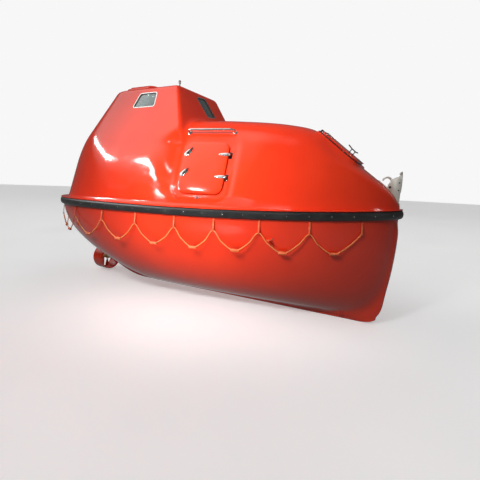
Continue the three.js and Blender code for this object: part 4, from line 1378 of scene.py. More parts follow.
def through(points: Array, per_run: int) -> Array:
    """A smooth line through points, cubic between them, that doesn't swing out at uneven spacing.

    Each slope weighs the runs before and after it by the square roots of their lengths.

    Args:
        points: what the line goes through.
        per_run: steps between neighbours.

    Returns:
        The line's points.
    """
    whole = np.vstack([2 * points[0] - points[1], points, 2 * points[-1] - points[-2]])
    gap = np.linalg.norm(np.diff(whole, axis=0), axis=1)[:, None] ** 0.5
    rate = np.diff(whole, axis=0) / gap
    slope = rate[:-1] - (whole[2:] - whole[:-2]) / (gap[:-1] + gap[1:]) + rate[1:]
    run = gap[1:-1]
    t = np.linspace(0, 1, per_run, endpoint=False)[None, :, None]
    a, b = points[:-1, None], points[1:, None]
    va, vb = (slope[:-1] * run)[:, None], (slope[1:] * run)[:, None]
    line = (2 * t**3 - 3 * t**2 + 1) * a + (t**3 - 2 * t**2 + t) * va
    line = line + (3 * t**2 - 2 * t**3) * b + (t**3 - t**2) * vb
    return np.vstack([line.reshape(-1, 3), points[-1:]])


@dataclass(frozen=True)
class Lifelines:
    """Ropes in bights along both sides, through a strap at every hitch, with a float in every bight."""

    diameter: float = 0.012
    pitch: float = 0.042
    lobe: float = 0.16
    float_radius: float = 0.017
    float_length: float = 0.09
    strap_wide: float = 0.018
    strap_thick: float = 0.003

    def line(self) -> Array:
        """Middle line of the starboard rope."""
        return through(ROUTE * np.array([1, -1, 1]), 36)

    def rope(self, line: Array) -> Sheet:
        """Three strands laid together: a round bar whose radius has three lobes that turn with length."""
        far = lengths(line)
        even = np.linspace(0, far[-1], int(far[-1] / (self.pitch / 8)))
        path = np.stack([np.interp(even, far, line[:, k]) for k in range(3)], -1)
        angle = np.linspace(0, 2 * math.pi, 13)[None, :]
        turn = 2 * math.pi * even[:, None] / self.pitch
        lobes = np.abs(np.cos(1.5 * (angle + turn / 3)))
        return tube(path, self.diameter / 2 * (1 - self.lobe * (1 - lobes)), unit(path * ATHWART), 12)

    def floats(self, line: Array) -> list[Sheet]:
        """A barrel on the rope at the bottom of every bight, thinner at its ends."""
        sheets = []
        for low in range(2, len(ROUTE), 4):
            centre = low * 36
            along = unit((line[centre + 12] - line[centre - 12]) * np.array([1, 1, 0]))
            where = place(line[centre], UPRIGHT, along)
            t = np.linspace(-1, 1, 13)
            radii = self.float_radius * (1 - 0.28 * np.abs(t) ** 6)
            body = [(r, self.float_length / 2 * k) for r, k in zip(radii, t)]
            ends = [(0.0062, -self.float_length / 2), *body, (0.0062, self.float_length / 2)]
            sheets.append(Sheet(np.concatenate([lathe(ends, 18), lathe(ends[:1], 18)])).on(where))
        return sheets

    def straps(self) -> list[Sheet]:
        """A webbing loop at each hitch: down from the hull, round under the rope and back up."""
        sheets = []
        plan = inset(FENDER_PROUD)
        for (x, y), knot in zip(HITCHES, ROUTE[::4]):
            slope = float(plan.half_at(np.array(x + 1e-3)) - plan.half_at(np.array(x - 1e-3))) / 2e-3
            along = unit(np.array([1.0, -slope, 0.0]))
            out = np.array([along[1], -along[0], 0.0])
            rope = knot * np.array([1, -1, 1])
            top = np.array([x, -y, GUNWALE + float(sheer(np.array(x))) - 0.05])
            where = Place(top, out, UPRIGHT, along)
            u, v = float((rope - top) @ out), float(rope[2] - top[2])
            loop = self.diameter / 2 + 0.0035
            turn = np.radians(np.linspace(60, -240, 22))
            eye = np.stack([u + loop * np.cos(turn), v + loop * np.sin(turn)], -1)
            down = np.array([(-0.006, 0.0), (0.003, -0.01), (0.006, -0.03)])
            path = np.vstack([down, eye, np.array([(0.002, -0.04), (-0.003, -0.02), (-0.006, -0.004)])])
            sheets.append(self.ribbon(path).on(where))
        return sheets

    def ribbon(self, path: Array) -> Sheet:
        """A flat band along a path in local x and y, as wide as the webbing along local z."""
        fine = through(np.column_stack([path, np.zeros(len(path))]), 3)
        side = unit(np.stack([-np.gradient(fine[:, 1]), np.gradient(fine[:, 0]), np.zeros(len(fine))], -1))
        w, t = self.strap_wide / 2, self.strap_thick / 2
        section = np.array([(-t, -w), (t, -w), (t, w), (-t, w), (-t, -w)])
        return Sheet(sweep(fine, section, side, np.broadcast_to(UPRIGHT, fine.shape)), ends=True)

    def build(self) -> None:
        """Makes both lifelines with their floats and straps."""
        line = self.line()
        for name, way in (("starboard", 1), ("port", -1)):
            flip = [s.mirrored() if way < 0 else s for s in (self.rope(line), *self.floats(line))]
            made = thing(f"lifeline_rope_{name}", flip[:1], [ROPE], 60)
            fasten(made, "boat", (f"lifeline_{name}",))
            beads = fasten(thing(f"lifeline_floats_{name}", flip[1:], [FLOAT]), "boat", ())
            straps = [s.mirrored() if way < 0 else s for s in self.straps()]
            fasten(thing(f"lifeline_straps_{name}", straps, [WEBBING]), "boat", ())


# Hull, fender and flange


@dataclass(frozen=True)
class Shell:
    """Hull with keel, skeg, stock trunk and shaft tube."""

    rows: int = 92
    spacing: float = 0.022

    def columns(self) -> Array:
        """Angles of the columns, closer together at the stem."""
        return ring_angles(
            inset(FENDER_PROUD), lambda x, y: np.where((x > 1) & (np.abs(y) < 0.16), 0.009, self.spacing)
        )

    def build(self) -> None:
        """Makes the hull."""
        angles = self.columns()
        x, y = inset(FENDER_PROUD).ring(angles)
        ring = np.stack([x, y, sheer(x)], -1)
        steps = np.linspace(0, 1, self.rows)
        rises = math.pi / 2 * (1 - (1 - steps) ** 1.45)
        skin = dome(HULL.level, ring, (-1.45, 1.95), rises, -1)
        outer = np.concatenate([ring[None] + np.array([0, 0, RIM]), ring[None], skin[1:]])
        inner = HULL.inner(angles, 22)
        lift = np.array([0, 0, GUNWALE])
        rim = np.stack([outer[0], inner[0]])
        sheets = [Sheet(outer + lift), Sheet(inner + lift, 1), Sheet(rim + lift)]
        hull = thing("hull_shell", sheets, [ORANGE, CREAM])
        athwart = Place(lift, FORE_AND_AFT, UPRIGHT, -ATHWART)
        skeg = slab(drawn(SKEG_LINE, 2), -0.049, 0.049, 0.014).on(athwart)
        upright = place(np.array([-2.04, 0, GUNWALE]), FORE_AND_AFT, UPRIGHT)
        trunk = Sheet(
            lathe([(0, -0.775), (0.036, -0.775), (0.044, -0.767), (0.044, -0.36), (0, -0.36)], 32)
        )
        abaft = place(np.array([0, 0, GUNWALE - 0.985]), UPRIGHT, FORE_AND_AFT)
        tube_line = [(0, -1.806), (0.04, -1.806), (0.048, -1.795), (0.048, -1.3), (0, -1.3)]
        joined = [
            thing("skeg", [skeg], [ORANGE, CREAM]), thing("trunk", [trunk.on(upright)], [ORANGE, CREAM])
        ]
        joined.append(thing("tube", [Sheet(lathe(tube_line, 32)).on(abaft)], [ORANGE, CREAM]))
        carve(hull, joined, "UNION")
        bores = [Sheet(lathe([(0, -2.1), (0.0186, -2.1), (0.0186, -1.39), (0, -1.39)], 24)).on(abaft)]
        bores.append(Sheet(lathe([(0, -0.9), (0.0226, -0.9), (0.0226, -0.3), (0, -0.3)], 24)).on(upright))
        carve(hull, [thing(f"bore_{k}", [b], [ORANGE, CREAM]) for k, b in enumerate(bores)])
        fasten(hull, "boat", ("hull",))


@dataclass(frozen=True)
class Gunwale:
    """Rubber fender with its bolts, and the canopy's flange above it."""

    bolt_gap: float = 0.222
    proud: float = FENDER_PROUD - 0.0003
    half_high: float = RIM

    def swept(self, profile: Array, angles: Array) -> Array:
        """Inset and height pairs carried round the boat, raised by the sheer."""
        x, y = inset(profile[:, 0, None]).ring(np.broadcast_to(angles, (len(profile), len(angles))))
        return np.stack([x, y, profile[:, 1, None] + sheer(x) + GUNWALE], -1)

    def build(self) -> None:
        """Makes the fender, its bolts and the flange."""
        angles = ring_angles(inset(0.0), lambda x, y: np.full_like(x, 0.03))
        t = np.linspace(-math.pi / 2, math.pi / 2, 17)
        out = self.proud * (1 - np.cos(t) ** 0.55)
        face = np.stack([out, self.half_high * np.sign(np.sin(t)) * np.abs(np.sin(t)) ** 0.9], -1)
        section = np.vstack([face, face[:1]])
        fender = thing("fender_rubber", [Sheet(self.swept(section, angles))], [FENDER])
        fasten(fender, "boat", ("fender",))
        self.bolts()
        top = RIM + FLANGE_THICK
        lip = np.array([
            (0.13, RIM + 0.0004), (0.011, RIM + 0.0004), (0.009, RIM + 0.002), (0.0085, RIM + 0.006),
            (0.0095, top - 0.002), (0.013, top - 0.0003), (0.05, top), (0.08, top), (0.09, top + 0.003),
            (0.099, top + 0.011), (0.108, top + 0.03), (0.13, top + 0.03), (0.13, RIM + 0.0004),
        ])  # fmt: skip
        flange = thing("canopy_flange", [Sheet(self.swept(lip, angles))], [ORANGE])
        fasten(flange, "boat", ("gunwale_flange",))

    def bolts(self) -> None:
        """Sets a domed bolt in the fender's face at even steps round the boat."""
        plan = inset(0.0)
        angles = ring_angles(plan, lambda x, y: np.full_like(x, self.bolt_gap))[:-1]
        x, y = plan.ring(angles + 1e-5)
        x2, y2 = plan.ring(angles + 2e-3)
        along = unit(np.stack([x2 - x, y2 - y, np.zeros_like(x)], -1))
        out = np.stack([along[:, 1], -along[:, 0], np.zeros_like(x)], -1)
        at = np.stack([x, y, sheer(x) + GUNWALE], -1) - 0.0045 * out
        head = bolt(0.0085, 0.006)
        sheets = [head.on(place(p, UPRIGHT, n)) for p, n in zip(at, out)]
        fasten(thing("fender_bolts", sheets, [STEEL]), "boat", ())


# Canopy


@dataclass(frozen=True)
class Window:
    """A fixed window: its place on the canopy's face, and its corners there."""

    name: str
    where: Place
    corners: tuple

    def outline(self, amount: float = 0.0) -> tuple[Array, Array]:
        """The rebate's outline, moved outwards."""
        return outset(cornered(list(self.corners), 0.03), amount)

    def cutters(self) -> list[Sheet]:
        """The rebate for the pane, and the light through it."""
        rebate = slab(self.outline(), -0.014, 0.1, 0.0005)
        light = slab(self.outline(-0.014), -0.2, 0.1, 0.0005)
        return [rebate.on(self.where), light.on(self.where)]

    def trim(self) -> list[Sheet]:
        """Frame ring on the face with its screws, and a bead of sealant between it and the pane."""
        ring = [
            (-0.0004, -0.006), (-0.0004, 0.0014), (0.001, 0.0026), (0.0115, 0.0026), (0.013, 0.0012),
            (0.013, -0.002),
        ]
        bead = [
            (-0.0004, -0.0058), (-0.0004, 0.0004), (-0.0022, 0.001), (-0.0085, -0.0035), (-0.009, -0.0058)
        ]
        sheets = [
            Sheet(carried(self.outline(), [*bead, bead[0]]), 1),
            Sheet(carried(self.outline(), [*ring, ring[0]])),
        ]
        spots = self.outline(0.0068)[0]
        far = lengths(spots)
        even = np.linspace(0, far[-1], 15)[:-1]
        heads = np.stack([np.interp(even, far, spots[:, 0]), np.interp(even, far, spots[:, 1])], -1)
        sheets += [
            bolt(0.0034, 0.0022).on(place(np.array([x, y, 0.0024]), ATHWART, UPRIGHT))
            for x, y in heads
        ]
        return [s.on(self.where) for s in sheets]

    def pane(self) -> Sheet:
        """The pane, bedded in the rebate."""
        return slab(self.outline(-0.001), -0.0135, -0.0062, 0.001).on(self.where)


def windows() -> list[Window]:
    """The tower's three windows."""
    found = []
    y = CANOPY.roof_half + CANOPY.side_lean * (CANOPY.roof - 1.362)
    corners = [(-0.142, 0.1), (-0.2, -0.1), (0.15, -0.1), (0.131, 0.1)]
    for name, way in (("starboard", -1), ("port", 1)):
        at = np.array([-0.655, way * y, 1.362 + GUNWALE])
        sides = corners if way < 0 else [(-a, b) for a, b in corners[::-1]]
        found.append(Window(name, place(at, -way * FORE_AND_AFT, np.array([0, way, 0.45])), tuple(sides)))
    x = CANOPY.front[0] + CANOPY.front[1] * (CANOPY.roof - 1.362)
    at = np.array([x, 0.04, 1.362 + GUNWALE])
    corners = ((-0.13, 0.102), (0.0, -0.148), (0.2, -0.125), (0.072, 0.124))
    found.append(Window("front", place(at, ATHWART, np.array([1, 0, 0.42])), corners))
    return found


@dataclass(frozen=True)
class CanopyShell:
    """Canopy laminate with its openings, the coamings on the centreline and the windows' trim."""

    spacing: float = 0.021
    fine: float = 0.0105
    rows_below_roof: int = 78

    def rises(self) -> Array:
        """Angles of the rows, close together at the edge of the tower's roof."""
        z = np.linspace(0, 1.493, self.rows_below_roof)
        side = np.arctan2(z, 0.455 + 0.45 * (1.493 - z))
        edge = np.radians(np.linspace(71.2, 75.6, 13))
        over = np.arctan2(1.493, np.linspace(0.36, 0, 17))
        return np.unique(np.concatenate([side[side < edge[0] - 0.006], edge, over, [math.pi / 2]]))

    def build(self) -> None:
        """Makes the canopy."""
        def wish(x: Array, y: Array) -> Array:
            """The spacing wanted at each place of the plan."""
            return np.where((x > -0.27) & (x < 0.2), self.fine, self.spacing)

        angles = ring_angles(inset(CANOPY_INSET), wish)
        lift = np.array([0, 0, GUNWALE])
        outer = CANOPY.skin(angles, self.rises())
        inner = CANOPY.skin(angles, np.linspace(0, math.pi / 2, 20), WALL)
        rim = np.stack([outer[0], inner[0]])
        sheets = [Sheet(outer + lift), Sheet(inner + lift, 1), Sheet(rim + lift)]
        shell = thing("canopy_shell", sheets, [ORANGE, CREAM], 40)
        cuts = []
        seats = (
            (SIDE_SEAT, Opening.SIDE), (BOW_SEAT, Opening.BOW), (AFT_SEAT, Opening.AFT),
            (ROOF_SEAT, Opening.ROOF),
        )
        for seat, kind in seats:
            wide, high, corner = kind.value
            hole = slab(rounded(wide, high, corner), -0.33, 0.16, 0.001).on(lifted(seat))
            cuts.append(hole)
            if kind is Opening.SIDE:
                cuts.append(hole.mirrored())
        for window in windows():
            cuts.extend(window.cutters())
        carve(shell, [thing(f"cut_{k}", [c], [ORANGE, CREAM]) for k, c in enumerate(cuts)])
        shell.data.set_sharp_from_angle(angle=math.radians(40))
        fasten(shell, "boat", ("canopy",))
        self.coamings()
        for window in windows():
            fasten(
                thing(f"window_trim_{window.name}", window.trim(), [STEEL, GASKET]), "boat", ()
            )
            pane = thing(f"window_pane_{window.name}", [window.pane()], [GLASS])
            fasten(pane, "boat", (f"window_{window.name}",))

    def coamings(self) -> None:
        """Raised seats round the bow, after and roof hatches: a rounded frame carried round each opening."""
        for name, seat, kind, rise in (
            ("bow", BOW_SEAT, Opening.BOW, 0.014),
            ("aft", AFT_SEAT, Opening.AFT, 0.014),
            ("roof", ROOF_SEAT, Opening.ROOF, 0.046),
        ):
            wide, high, corner = kind.value
            edge = 0.072
            foot = -rise - 0.016
            profile = [(0, foot), (edge + 0.012, foot), (edge + 0.004, -rise + 0.003), (edge, -0.008)]
            profile += [(edge - 0.0025, -0.0022), (edge - 0.008, 0), (0.004, 0), (0, -0.004), (0, foot)]
            frame_sheet = Sheet(carried(rounded(wide, high, corner, 10), profile)).on(lifted(seat))
            fasten(thing(f"{name}_hatch_coaming", [frame_sheet], [ORANGE]), "boat", ())


# Hatches and what is on them


LEAF = (
    (-0.132, 0.011, -1), (-0.062, 0.02, -1), (-0.022, 0.02, -1), (-0.017, 0.0125, -1), (-0.004, 0.0125, -1),
    (-0.004, 0.0125, 1), (-0.017, 0.0125, 1), (-0.022, 0.02, 1), (-0.062, 0.02, 1), (-0.132, 0.011, 1),
)  # fmt: skip


@dataclass(frozen=True)
class Hatch:
    """A lid on its seat with strap hinges.

    The hinge frame has its x towards the hinge's edge, its y along the pin and its z out of the boat.
    """

    name: str
    seat: Place
    wide: float
    high: float
    stations: tuple
    ears: tuple | None = None
    on_y: bool = True
    mirrored: bool = False
    crown: float = 0.0035

    @property
    def body(self) -> str:
        """The body that the lid is."""
        return f"side_hatch_{self.name}" if self.name in ("starboard", "port") else f"{self.name}_hatch"

    def pin(self) -> Place:
        """Frame on the hinge pin's middle."""
        where = lifted(self.seat)
        turned = Place(where.at, where.y, -where.x, where.z) if self.on_y else where
        reach = (self.high if self.on_y else self.wide) / 2 + 0.018
        return turned.shifted(x=reach, z=0.024)

    def flip(self, sheets: list[Sheet]) -> list[Sheet]:
        """The sheets on this hatch's own side."""
        return [s.mirrored() for s in sheets] if self.mirrored else sheets

    def lid(self) -> list[Sheet]:
        """A dished lid with a rounded rim, its inner face with a spigot, and a black gasket under the rim,
        about 11 mm tall, whose dark band is also painted shade under the lid's rim.
        """
        outline = rounded(self.wide, self.high, 0.095, 12)
        rim = [
            (-0.006, 0.011), (-0.001, 0.0112), (0, 0.0125), (0, 0.019), (-0.0015, 0.0225), (-0.004, 0.0248)
        ]
        dish = [(-0.0075 * k, 0.026 + self.crown * (1 - k**4), k) for k in np.linspace(1, 0, 15)]
        face = Sheet(carried(outline, rim + dish))
        back = [(-0.006, 0.011), (-0.037, 0.009), (-0.037, -0.012), (-0.041, -0.016)]
        back += [(-0.041 * k, -0.016, k) for k in (0.8, 0.5, 0.2, 0.0)]
        # Black rubber seal under the rim, about 11 mm tall: a real gasket, and its dark band also stands for
        # the shade under the lid's rim, so it is partly painted shade.
        seal = [
            (-0.004, 0.0004), (-0.003, 0.006), (-0.0045, 0.0112), (-0.02, 0.0112), (-0.022, 0.005),
            (-0.02, 0.0004),
        ]
        where = lifted(self.seat)
        sheets = [face.on(where), Sheet(carried(outline, back), 1).on(where)]
        return sheets + [Sheet(carried(outline, [*seal, seal[0]]), 2).on(where)]

    def straps(self) -> list[Sheet]:
        """Tapered straps with a barrel round the pin and three bolts each."""
        sheets = []
        pin = self.pin()
        for y in self.stations:
            here = pin.shifted(y=y)
            shape = drawn([(x, way * y) for x, y, way in LEAF], 2)
            sheets.append(slab(shape, 0.0025, 0.0075, 0.0015).on(here))
            barrel = [
                (0.0056, -0.013), (0.0085, -0.013), (0.0095, -0.012), (0.0095, 0.012), (0.0085, 0.013),
                (0.0056, 0.013), (0.0056, -0.013),
            ]
            along = Place(here.at, here.z, here.x, here.y)
            sheets.append(Sheet(lathe(barrel, 24)).on(along))
            spots = ((-0.112, 0.0), (-0.074, 0.0), (-0.034, -0.01), (-0.034, 0.01))
            sheets += [bolt(0.0045, 0.0035).on(here.shifted(x=x, y=s, z=0.0073)) for x, s in spots]
        return sheets

    def brackets(self, y: tuple[float, ...]) -> list[Sheet]:
        """The pin with its heads, ears round it, and a foot plate with bolts under each ear."""
        pin = self.pin()
        ends = (min(y) - 0.008, max(y) + 0.008)
        along = Place(pin.at, pin.z, pin.x, pin.y)
        rod = [
            (0, ends[0]), (0.0042, ends[0]), (0.005, ends[0] + 0.001), (0.005, ends[1] - 0.001),
            (0.0042, ends[1]), (0, ends[1]),
        ]
        sheets = [Sheet(lathe(rod, 16), 1).on(along)]
        for place_y in y:
            here = pin.shifted(y=place_y)
            turn = np.radians(np.linspace(0, 180, 9))
            arch = [(0.01 * math.cos(a), 0.01 * math.sin(a)) for a in turn]
            ear = drawn([(-0.01, -0.022), (0.014, -0.022), *arch[1:]], 0)
            upright = Place(here.at, here.x, here.z, -here.y)
            sheets.append(Sheet(slab(ear, -0.0035, 0.0035, 0.001).points, 1, None, True).on(upright))
            foot = slab(rounded(0.036, 0.05, 0.006, 4), -0.0237, -0.0195, 0.001)
            sheets.append(Sheet(foot.points, 1, None, True).on(here.shifted(x=0.006)))
            sheets += [
                bolt(0.003, 0.0025).on(here.shifted(x=0.013, y=s * 0.012, z=-0.0202))
                for s in (-1, 1)
            ]
        return sheets

    def build(self) -> None:
        """Makes the lid, its straps and its brackets."""
        lid = thing(f"{self.body}_lid", self.flip(self.lid()), [ORANGE, CREAM, GASKET])
        fasten(lid, self.body, (self.body,))
        straps = thing(f"{self.body}_straps", self.flip(self.straps()), [STEEL])
        fasten(straps, self.body, ())
        if self.ears:
            made = thing(f"{self.body}_brackets", self.flip(self.brackets(self.ears)), [STEEL, DARK_STEEL])
            fasten(made, "boat", (f"{self.body}_hinge",))
            return
        for y, level in zip(self.stations, ("upper", "lower")):
            pair = (y - 0.0175, y + 0.0175)
            made = thing(
                f"hinge_bracket_{self.name}_{level}", self.flip(self.brackets(pair)), [STEEL, DARK_STEEL]
            )
            fasten(made, "boat", (f"side_hinge_{self.name}_{level}",))


GRIP = (
    (-0.0085, -0.022), (0.0085, -0.022), (0.006, 0.012), (0.0085, 0.045), (0.0085, 0.082), (-0.0085, 0.082),
    (-0.0085, 0.045), (-0.006, 0.012),
)  # fmt: skip


@dataclass(frozen=True)
class Dogs:
    """Dogs of the side hatches and handles of the end hatches."""

    lean: float = -42.0

    def dog(self, where: Place) -> list[Sheet]:
        """An oval plate, a boss and a waisted lever along the plate."""
        turned = where.turned(self.lean)
        plate_sheet = slab(rounded(0.058, 0.108, 0.0288, 10), 0.0004, 0.0062, 0.0022)
        boss = [
            (0, 0.005), (0.0185, 0.005), (0.0178, 0.0085), (0.0125, 0.0105), (0.0105, 0.0142), (0, 0.0142)
        ]
        sheets = [plate_sheet.on(turned), Sheet(lathe(boss, 28), 1).on(where)]
        grip = drawn([(x, y) for x, y in GRIP], 2)
        sheets.append(Sheet(slab(grip, 0.0145, 0.0225, 0.003).points, 1, None, True).on(turned))
        sheets.append(bolt(0.0055, 0.004).on(turned.shifted(z=0.0222)))
        sheets += [bolt(0.0036, 0.0025).on(turned.shifted(y=y, z=0.006)) for y in (-0.042, 0.042)]
        return sheets

    def handle(self, where: Place) -> list[Sheet]:
        """A bar along the slope on two legs, its upper end turned up, and a hasp over the lid's edge."""
        path = bent(
            [
                np.array(c)
                for c in ((0, 0.085, 0.056), (0, 0.03, 0.045), (0, -0.03, 0.042), (0, -0.056, 0.05))
            ],
            0.012, 5,
        )
        sheets = [Sheet(tube(path, 0.0062, FORE_AND_AFT, 12).points, 1, None, True).on(where)]
        for y in (0.026, -0.024):
            leg = [
                (0, 0.0004), (0.014, 0.0004), (0.014, 0.003), (0.007, 0.006), (0.0055, 0.012),
                (0.0055, 0.044), (0, 0.045),
            ]
            sheets.append(Sheet(lathe(leg, 20), 1).on(where.shifted(y=y)))
        hasp = drawn(
            [
                (-0.012, -0.075), (0.012, -0.075), (0.016, -0.02), (0.012, 0.018), (-0.012, 0.018),
                (-0.016, -0.02),
            ],
            2,
        )
        sheets.append(
            Sheet(slab(hasp, 0.0006, 0.0056, 0.0015).points, 1, None, True).on(where.shifted(y=-0.112))
        )
        sheets += [bolt(0.004, 0.003).on(where.shifted(y=y, z=0.0054)) for y in (-0.107, -0.122)]
        return sheets

    def build(self) -> None:
        """Makes the dogs and handles."""
        seat = lifted(SIDE_SEAT)
        for level, y in (("upper", 0.178), ("lower", -0.081)):
            sheets = self.dog(seat.shifted(x=-0.2245, y=y, z=0.0285))
            for name in ("starboard", "port"):
                made = [s.mirrored() for s in sheets] if name == "port" else sheets
                piece = thing(f"dog_lever_{name}_{level}", made, [STEEL, DARK_STEEL])
                fasten(piece, f"side_hatch_{name}", (f"dog_{name}_{level}",))
        for name, where in (("bow", BOW_SEAT), ("aft", AFT_SEAT)):
            sheets = self.handle(lifted(where).shifted(y=-0.11, z=0.029))
            piece = thing(f"{name}_hatch_grip", sheets, [STEEL, DARK_STEEL])
            fasten(piece, f"{name}_hatch", (f"{name}_hatch_handle",))


@dataclass(frozen=True)
class GrabRails:
    """A bent tube with foot flanges above each side hatch, and an eye below it."""

    half: float = 0.286
    ahead: float = 0.012
    up: float = 0.458
    out: float = 0.074
    radius: float = 0.0135

    def build(self) -> None:
        """Makes the rails and the eyes."""
        seat = lifted(SIDE_SEAT)
        corners, sheets = [], []
        for x in (self.ahead - self.half, self.ahead + self.half):
            start = SIDE_SEAT.out(np.array([x, self.up, -0.35]))
            foot = CANOPY.foot(start, SIDE_SEAT.z) + GUNWALE * UPRIGHT
            head = seat.out(np.array([x, self.up, self.out]))
            corners.append([foot, head])
            flange = [
                (0, -0.004), (0.026, -0.004), (0.026, 0.002), (0.0235, 0.004), (0.015, 0.0048),
                (0.0125, 0.008), (0, 0.008),
            ]
            spot = place(foot, seat.x, seat.z)
            sheets.append(Sheet(lathe(flange, 28)).on(spot))
            sheets += [
                bolt(0.003, 0.0025).on(spot.turned(a).shifted(x=0.0195, z=0.0036))
                for a in (30, 150, 270)
            ]
        (a, b), (d, c) = corners
        path = bent([a - 0.01 * seat.z, b, c, d - 0.01 * seat.z], 0.045, 10)
        sheets.append(tube(path, self.radius, seat.y, 18))
        eye = seat.shifted(x=-0.01, y=-0.366)
        turn = np.linspace(-math.pi * 0.42, math.pi * 1.42, 22)
        loop = np.stack([0.018 * np.cos(turn), 0 * turn, 0.021 + 0.018 * np.sin(turn)], -1)
        ring = tube(eye.out(loop), 0.005, eye.y, 10)
        pad = slab(rounded(0.05, 0.026, 0.01, 4), 0.0, 0.004, 0.001).on(eye)
        for name in ("starboard", "port"):
            rail = [s.mirrored() for s in sheets] if name == "port" else sheets
            fasten(thing(f"grab_rail_{name}", rail, [STEEL]), "boat", (f"rail_{name}",))
            eyes = [s.mirrored() for s in (ring, pad)] if name == "port" else [ring, pad]
            fasten(thing(f"stay_eye_{name}", eyes, [STEEL]), "boat", ())


# Lifting hooks


@dataclass(frozen=True)
class LiftingHook:
    """A hook at one end of the boat: two cheeks, a blade, a pin, and a jaw that arches over the ring."""

    name: str
    x: float
    z: float
    way: float

    def side(self) -> Place:
        """Frame on the pivot: x towards the end of the boat, y up and z athwart."""
        at = np.array([self.x, 0, self.z + GUNWALE])
        return Place(at, self.way * FORE_AND_AFT, UPRIGHT, -self.way * ATHWART)

    def ground(self, dx: Array) -> Array:
        """Height of the canopy or its flange under the hook, from the pivot."""
        x = self.x + self.way * dx
        inside = np.stack([x * 0.97, 0 * x, np.full_like(x, 0.06)], -1)
        start = np.stack([x, 0 * x, np.full_like(x, RIM + 0.03)], -1)
        up = cast(CANOPY.level, start, np.broadcast_to(UPRIGHT, start.shape), 2.0)[..., 2]
        covered = CANOPY.level(inside) < 0
        flange = RIM + FLANGE_THICK + sheer(x)
        return np.maximum(np.where(covered & (CANOPY.level(start) < 0), up, flange), flange) - self.z

    def build(self) -> None:
        """Makes the frame and the jaw."""
        where = self.side()
        top = [
            (-0.11, -0.02), (-0.04, -0.02), (-0.018, 0.026), (0.004, 0.082), (0.04, 0.104), (0.082, 0.112),
            (0.102, 0.08), (0.108, -0.06),
        ]
        dx = np.linspace(0.104, -0.11, 8)
        foot = [(float(a), min(float(b) - 0.006, -0.03)) for a, b in zip(dx, self.ground(dx))]
        cheek = drawn((top + foot)[::-1], 1)
        sheets = []
        for middle in (-0.022, 0.022):
            sheets.append(slab(cheek, middle - 0.005, middle + 0.005, 0.0015).on(where))
        base_x = np.linspace(-0.128, 0.112, 26)
        base_z = self.ground(base_x)
        line = where.out(np.stack([base_x, base_z + 0.0035, 0 * base_x], -1))
        along = unit(np.gradient(line, axis=0))
        up = unit(np.cross(along, np.cross(UPRIGHT, along)))
        rim = rounded(0.096, 0.007, 0.003, 3)[0]
        sheets.append(Sheet(sweep(line, rim, np.broadcast_to(ATHWART, line.shape), up), ends=True))
        blade = drawn(
            [
                (0.078, 0.12), (0.07, 0.02), (0.075, -0.09), (0.1, -0.1), (0.118, -0.02), (0.112, 0.16),
                (0.104, 0.172), (0.088, 0.168),
            ],
            2,
        )
        sheets.append(slab(blade, -0.017, 0.017, 0.004).on(where))
        pin = [
            (0, -0.034), (0.011, -0.034), (0.013, -0.031), (0.013, -0.0275), (0.009, -0.0275),
            (0.009, 0.0275), (0.013, 0.0275), (0.013, 0.031), (0.011, 0.034), (0, 0.034),
        ]
        sheets.append(Sheet(lathe(pin, 28), 1).on(where))
        for dx0, dz0 in ((0.09, 0.05), (0.088, -0.03)):
            bar = [
                (0, -0.031), (0.007, -0.031), (0.008, -0.0275), (0.006, -0.0275), (0.006, 0.0275),
                (0.008, 0.0275), (0.007, 0.031), (0, 0.031),
            ]
            sheets.append(Sheet(lathe(bar, 20), 1).on(where.shifted(x=dx0, y=dz0)))
        eye = [
            (0.008, -0.018), (0.0125, -0.018), (0.0135, -0.0165), (0.0135, 0.0165), (0.0125, 0.018),
            (0.008, 0.018), (0.008, -0.018),
        ]
        sheets.append(Sheet(lathe(eye, 24), 1).on(where.shifted(x=0.095, y=0.145)))
        cheeks = thing(f"{self.name}_hook_cheeks", sheets, [CAST, DARK_STEEL])
        fasten(cheeks, "boat", (f"{self.name}_hook_frame",))
        claw = thing(f"{self.name}_hook_claw", self.jaw(where), [CAST])
        fasten(claw, f"{self.name}_hook_jaw", (f"{self.name}_hook_jaw",))

    def jaw(self, where: Place) -> list[Sheet]:
        """A claw whose section thins towards its tip along an arc, and a lug round the pin."""
        turn = np.radians(np.linspace(-70, 172, 46))
        share = np.linspace(0, 1, 46)
        middle = 0.044 - 0.001 * share
        path = np.stack([-0.038 + middle * np.cos(turn), 0.062 + middle * np.sin(turn), 0 * turn], -1)
        out = np.stack([np.cos(turn), np.sin(turn), 0 * turn], -1)
        thick = 0.012 * (1 - 0.35 * share**2)
        ring, _ = rounded(2.0, 2.0, 0.7, 4)
        section = ring[None] * np.stack([thick, 0.0118 * (1 - 0.2 * share**3)], -1)[:, None]
        points = path[:, None] + section[..., :1] * out[:, None] + section[..., 1:] * UPRIGHT
        lug = [
            (0.0097, -0.0118), (0.0195, -0.0118), (0.021, -0.0102), (0.021, 0.0102), (0.0195, 0.0118),
            (0.0097, 0.0118), (0.0097, -0.0118),
        ]
        return [Sheet(points, ends=True).on(where), Sheet(lathe(lug, 32)).on(where)]


# Steering nozzle and propeller


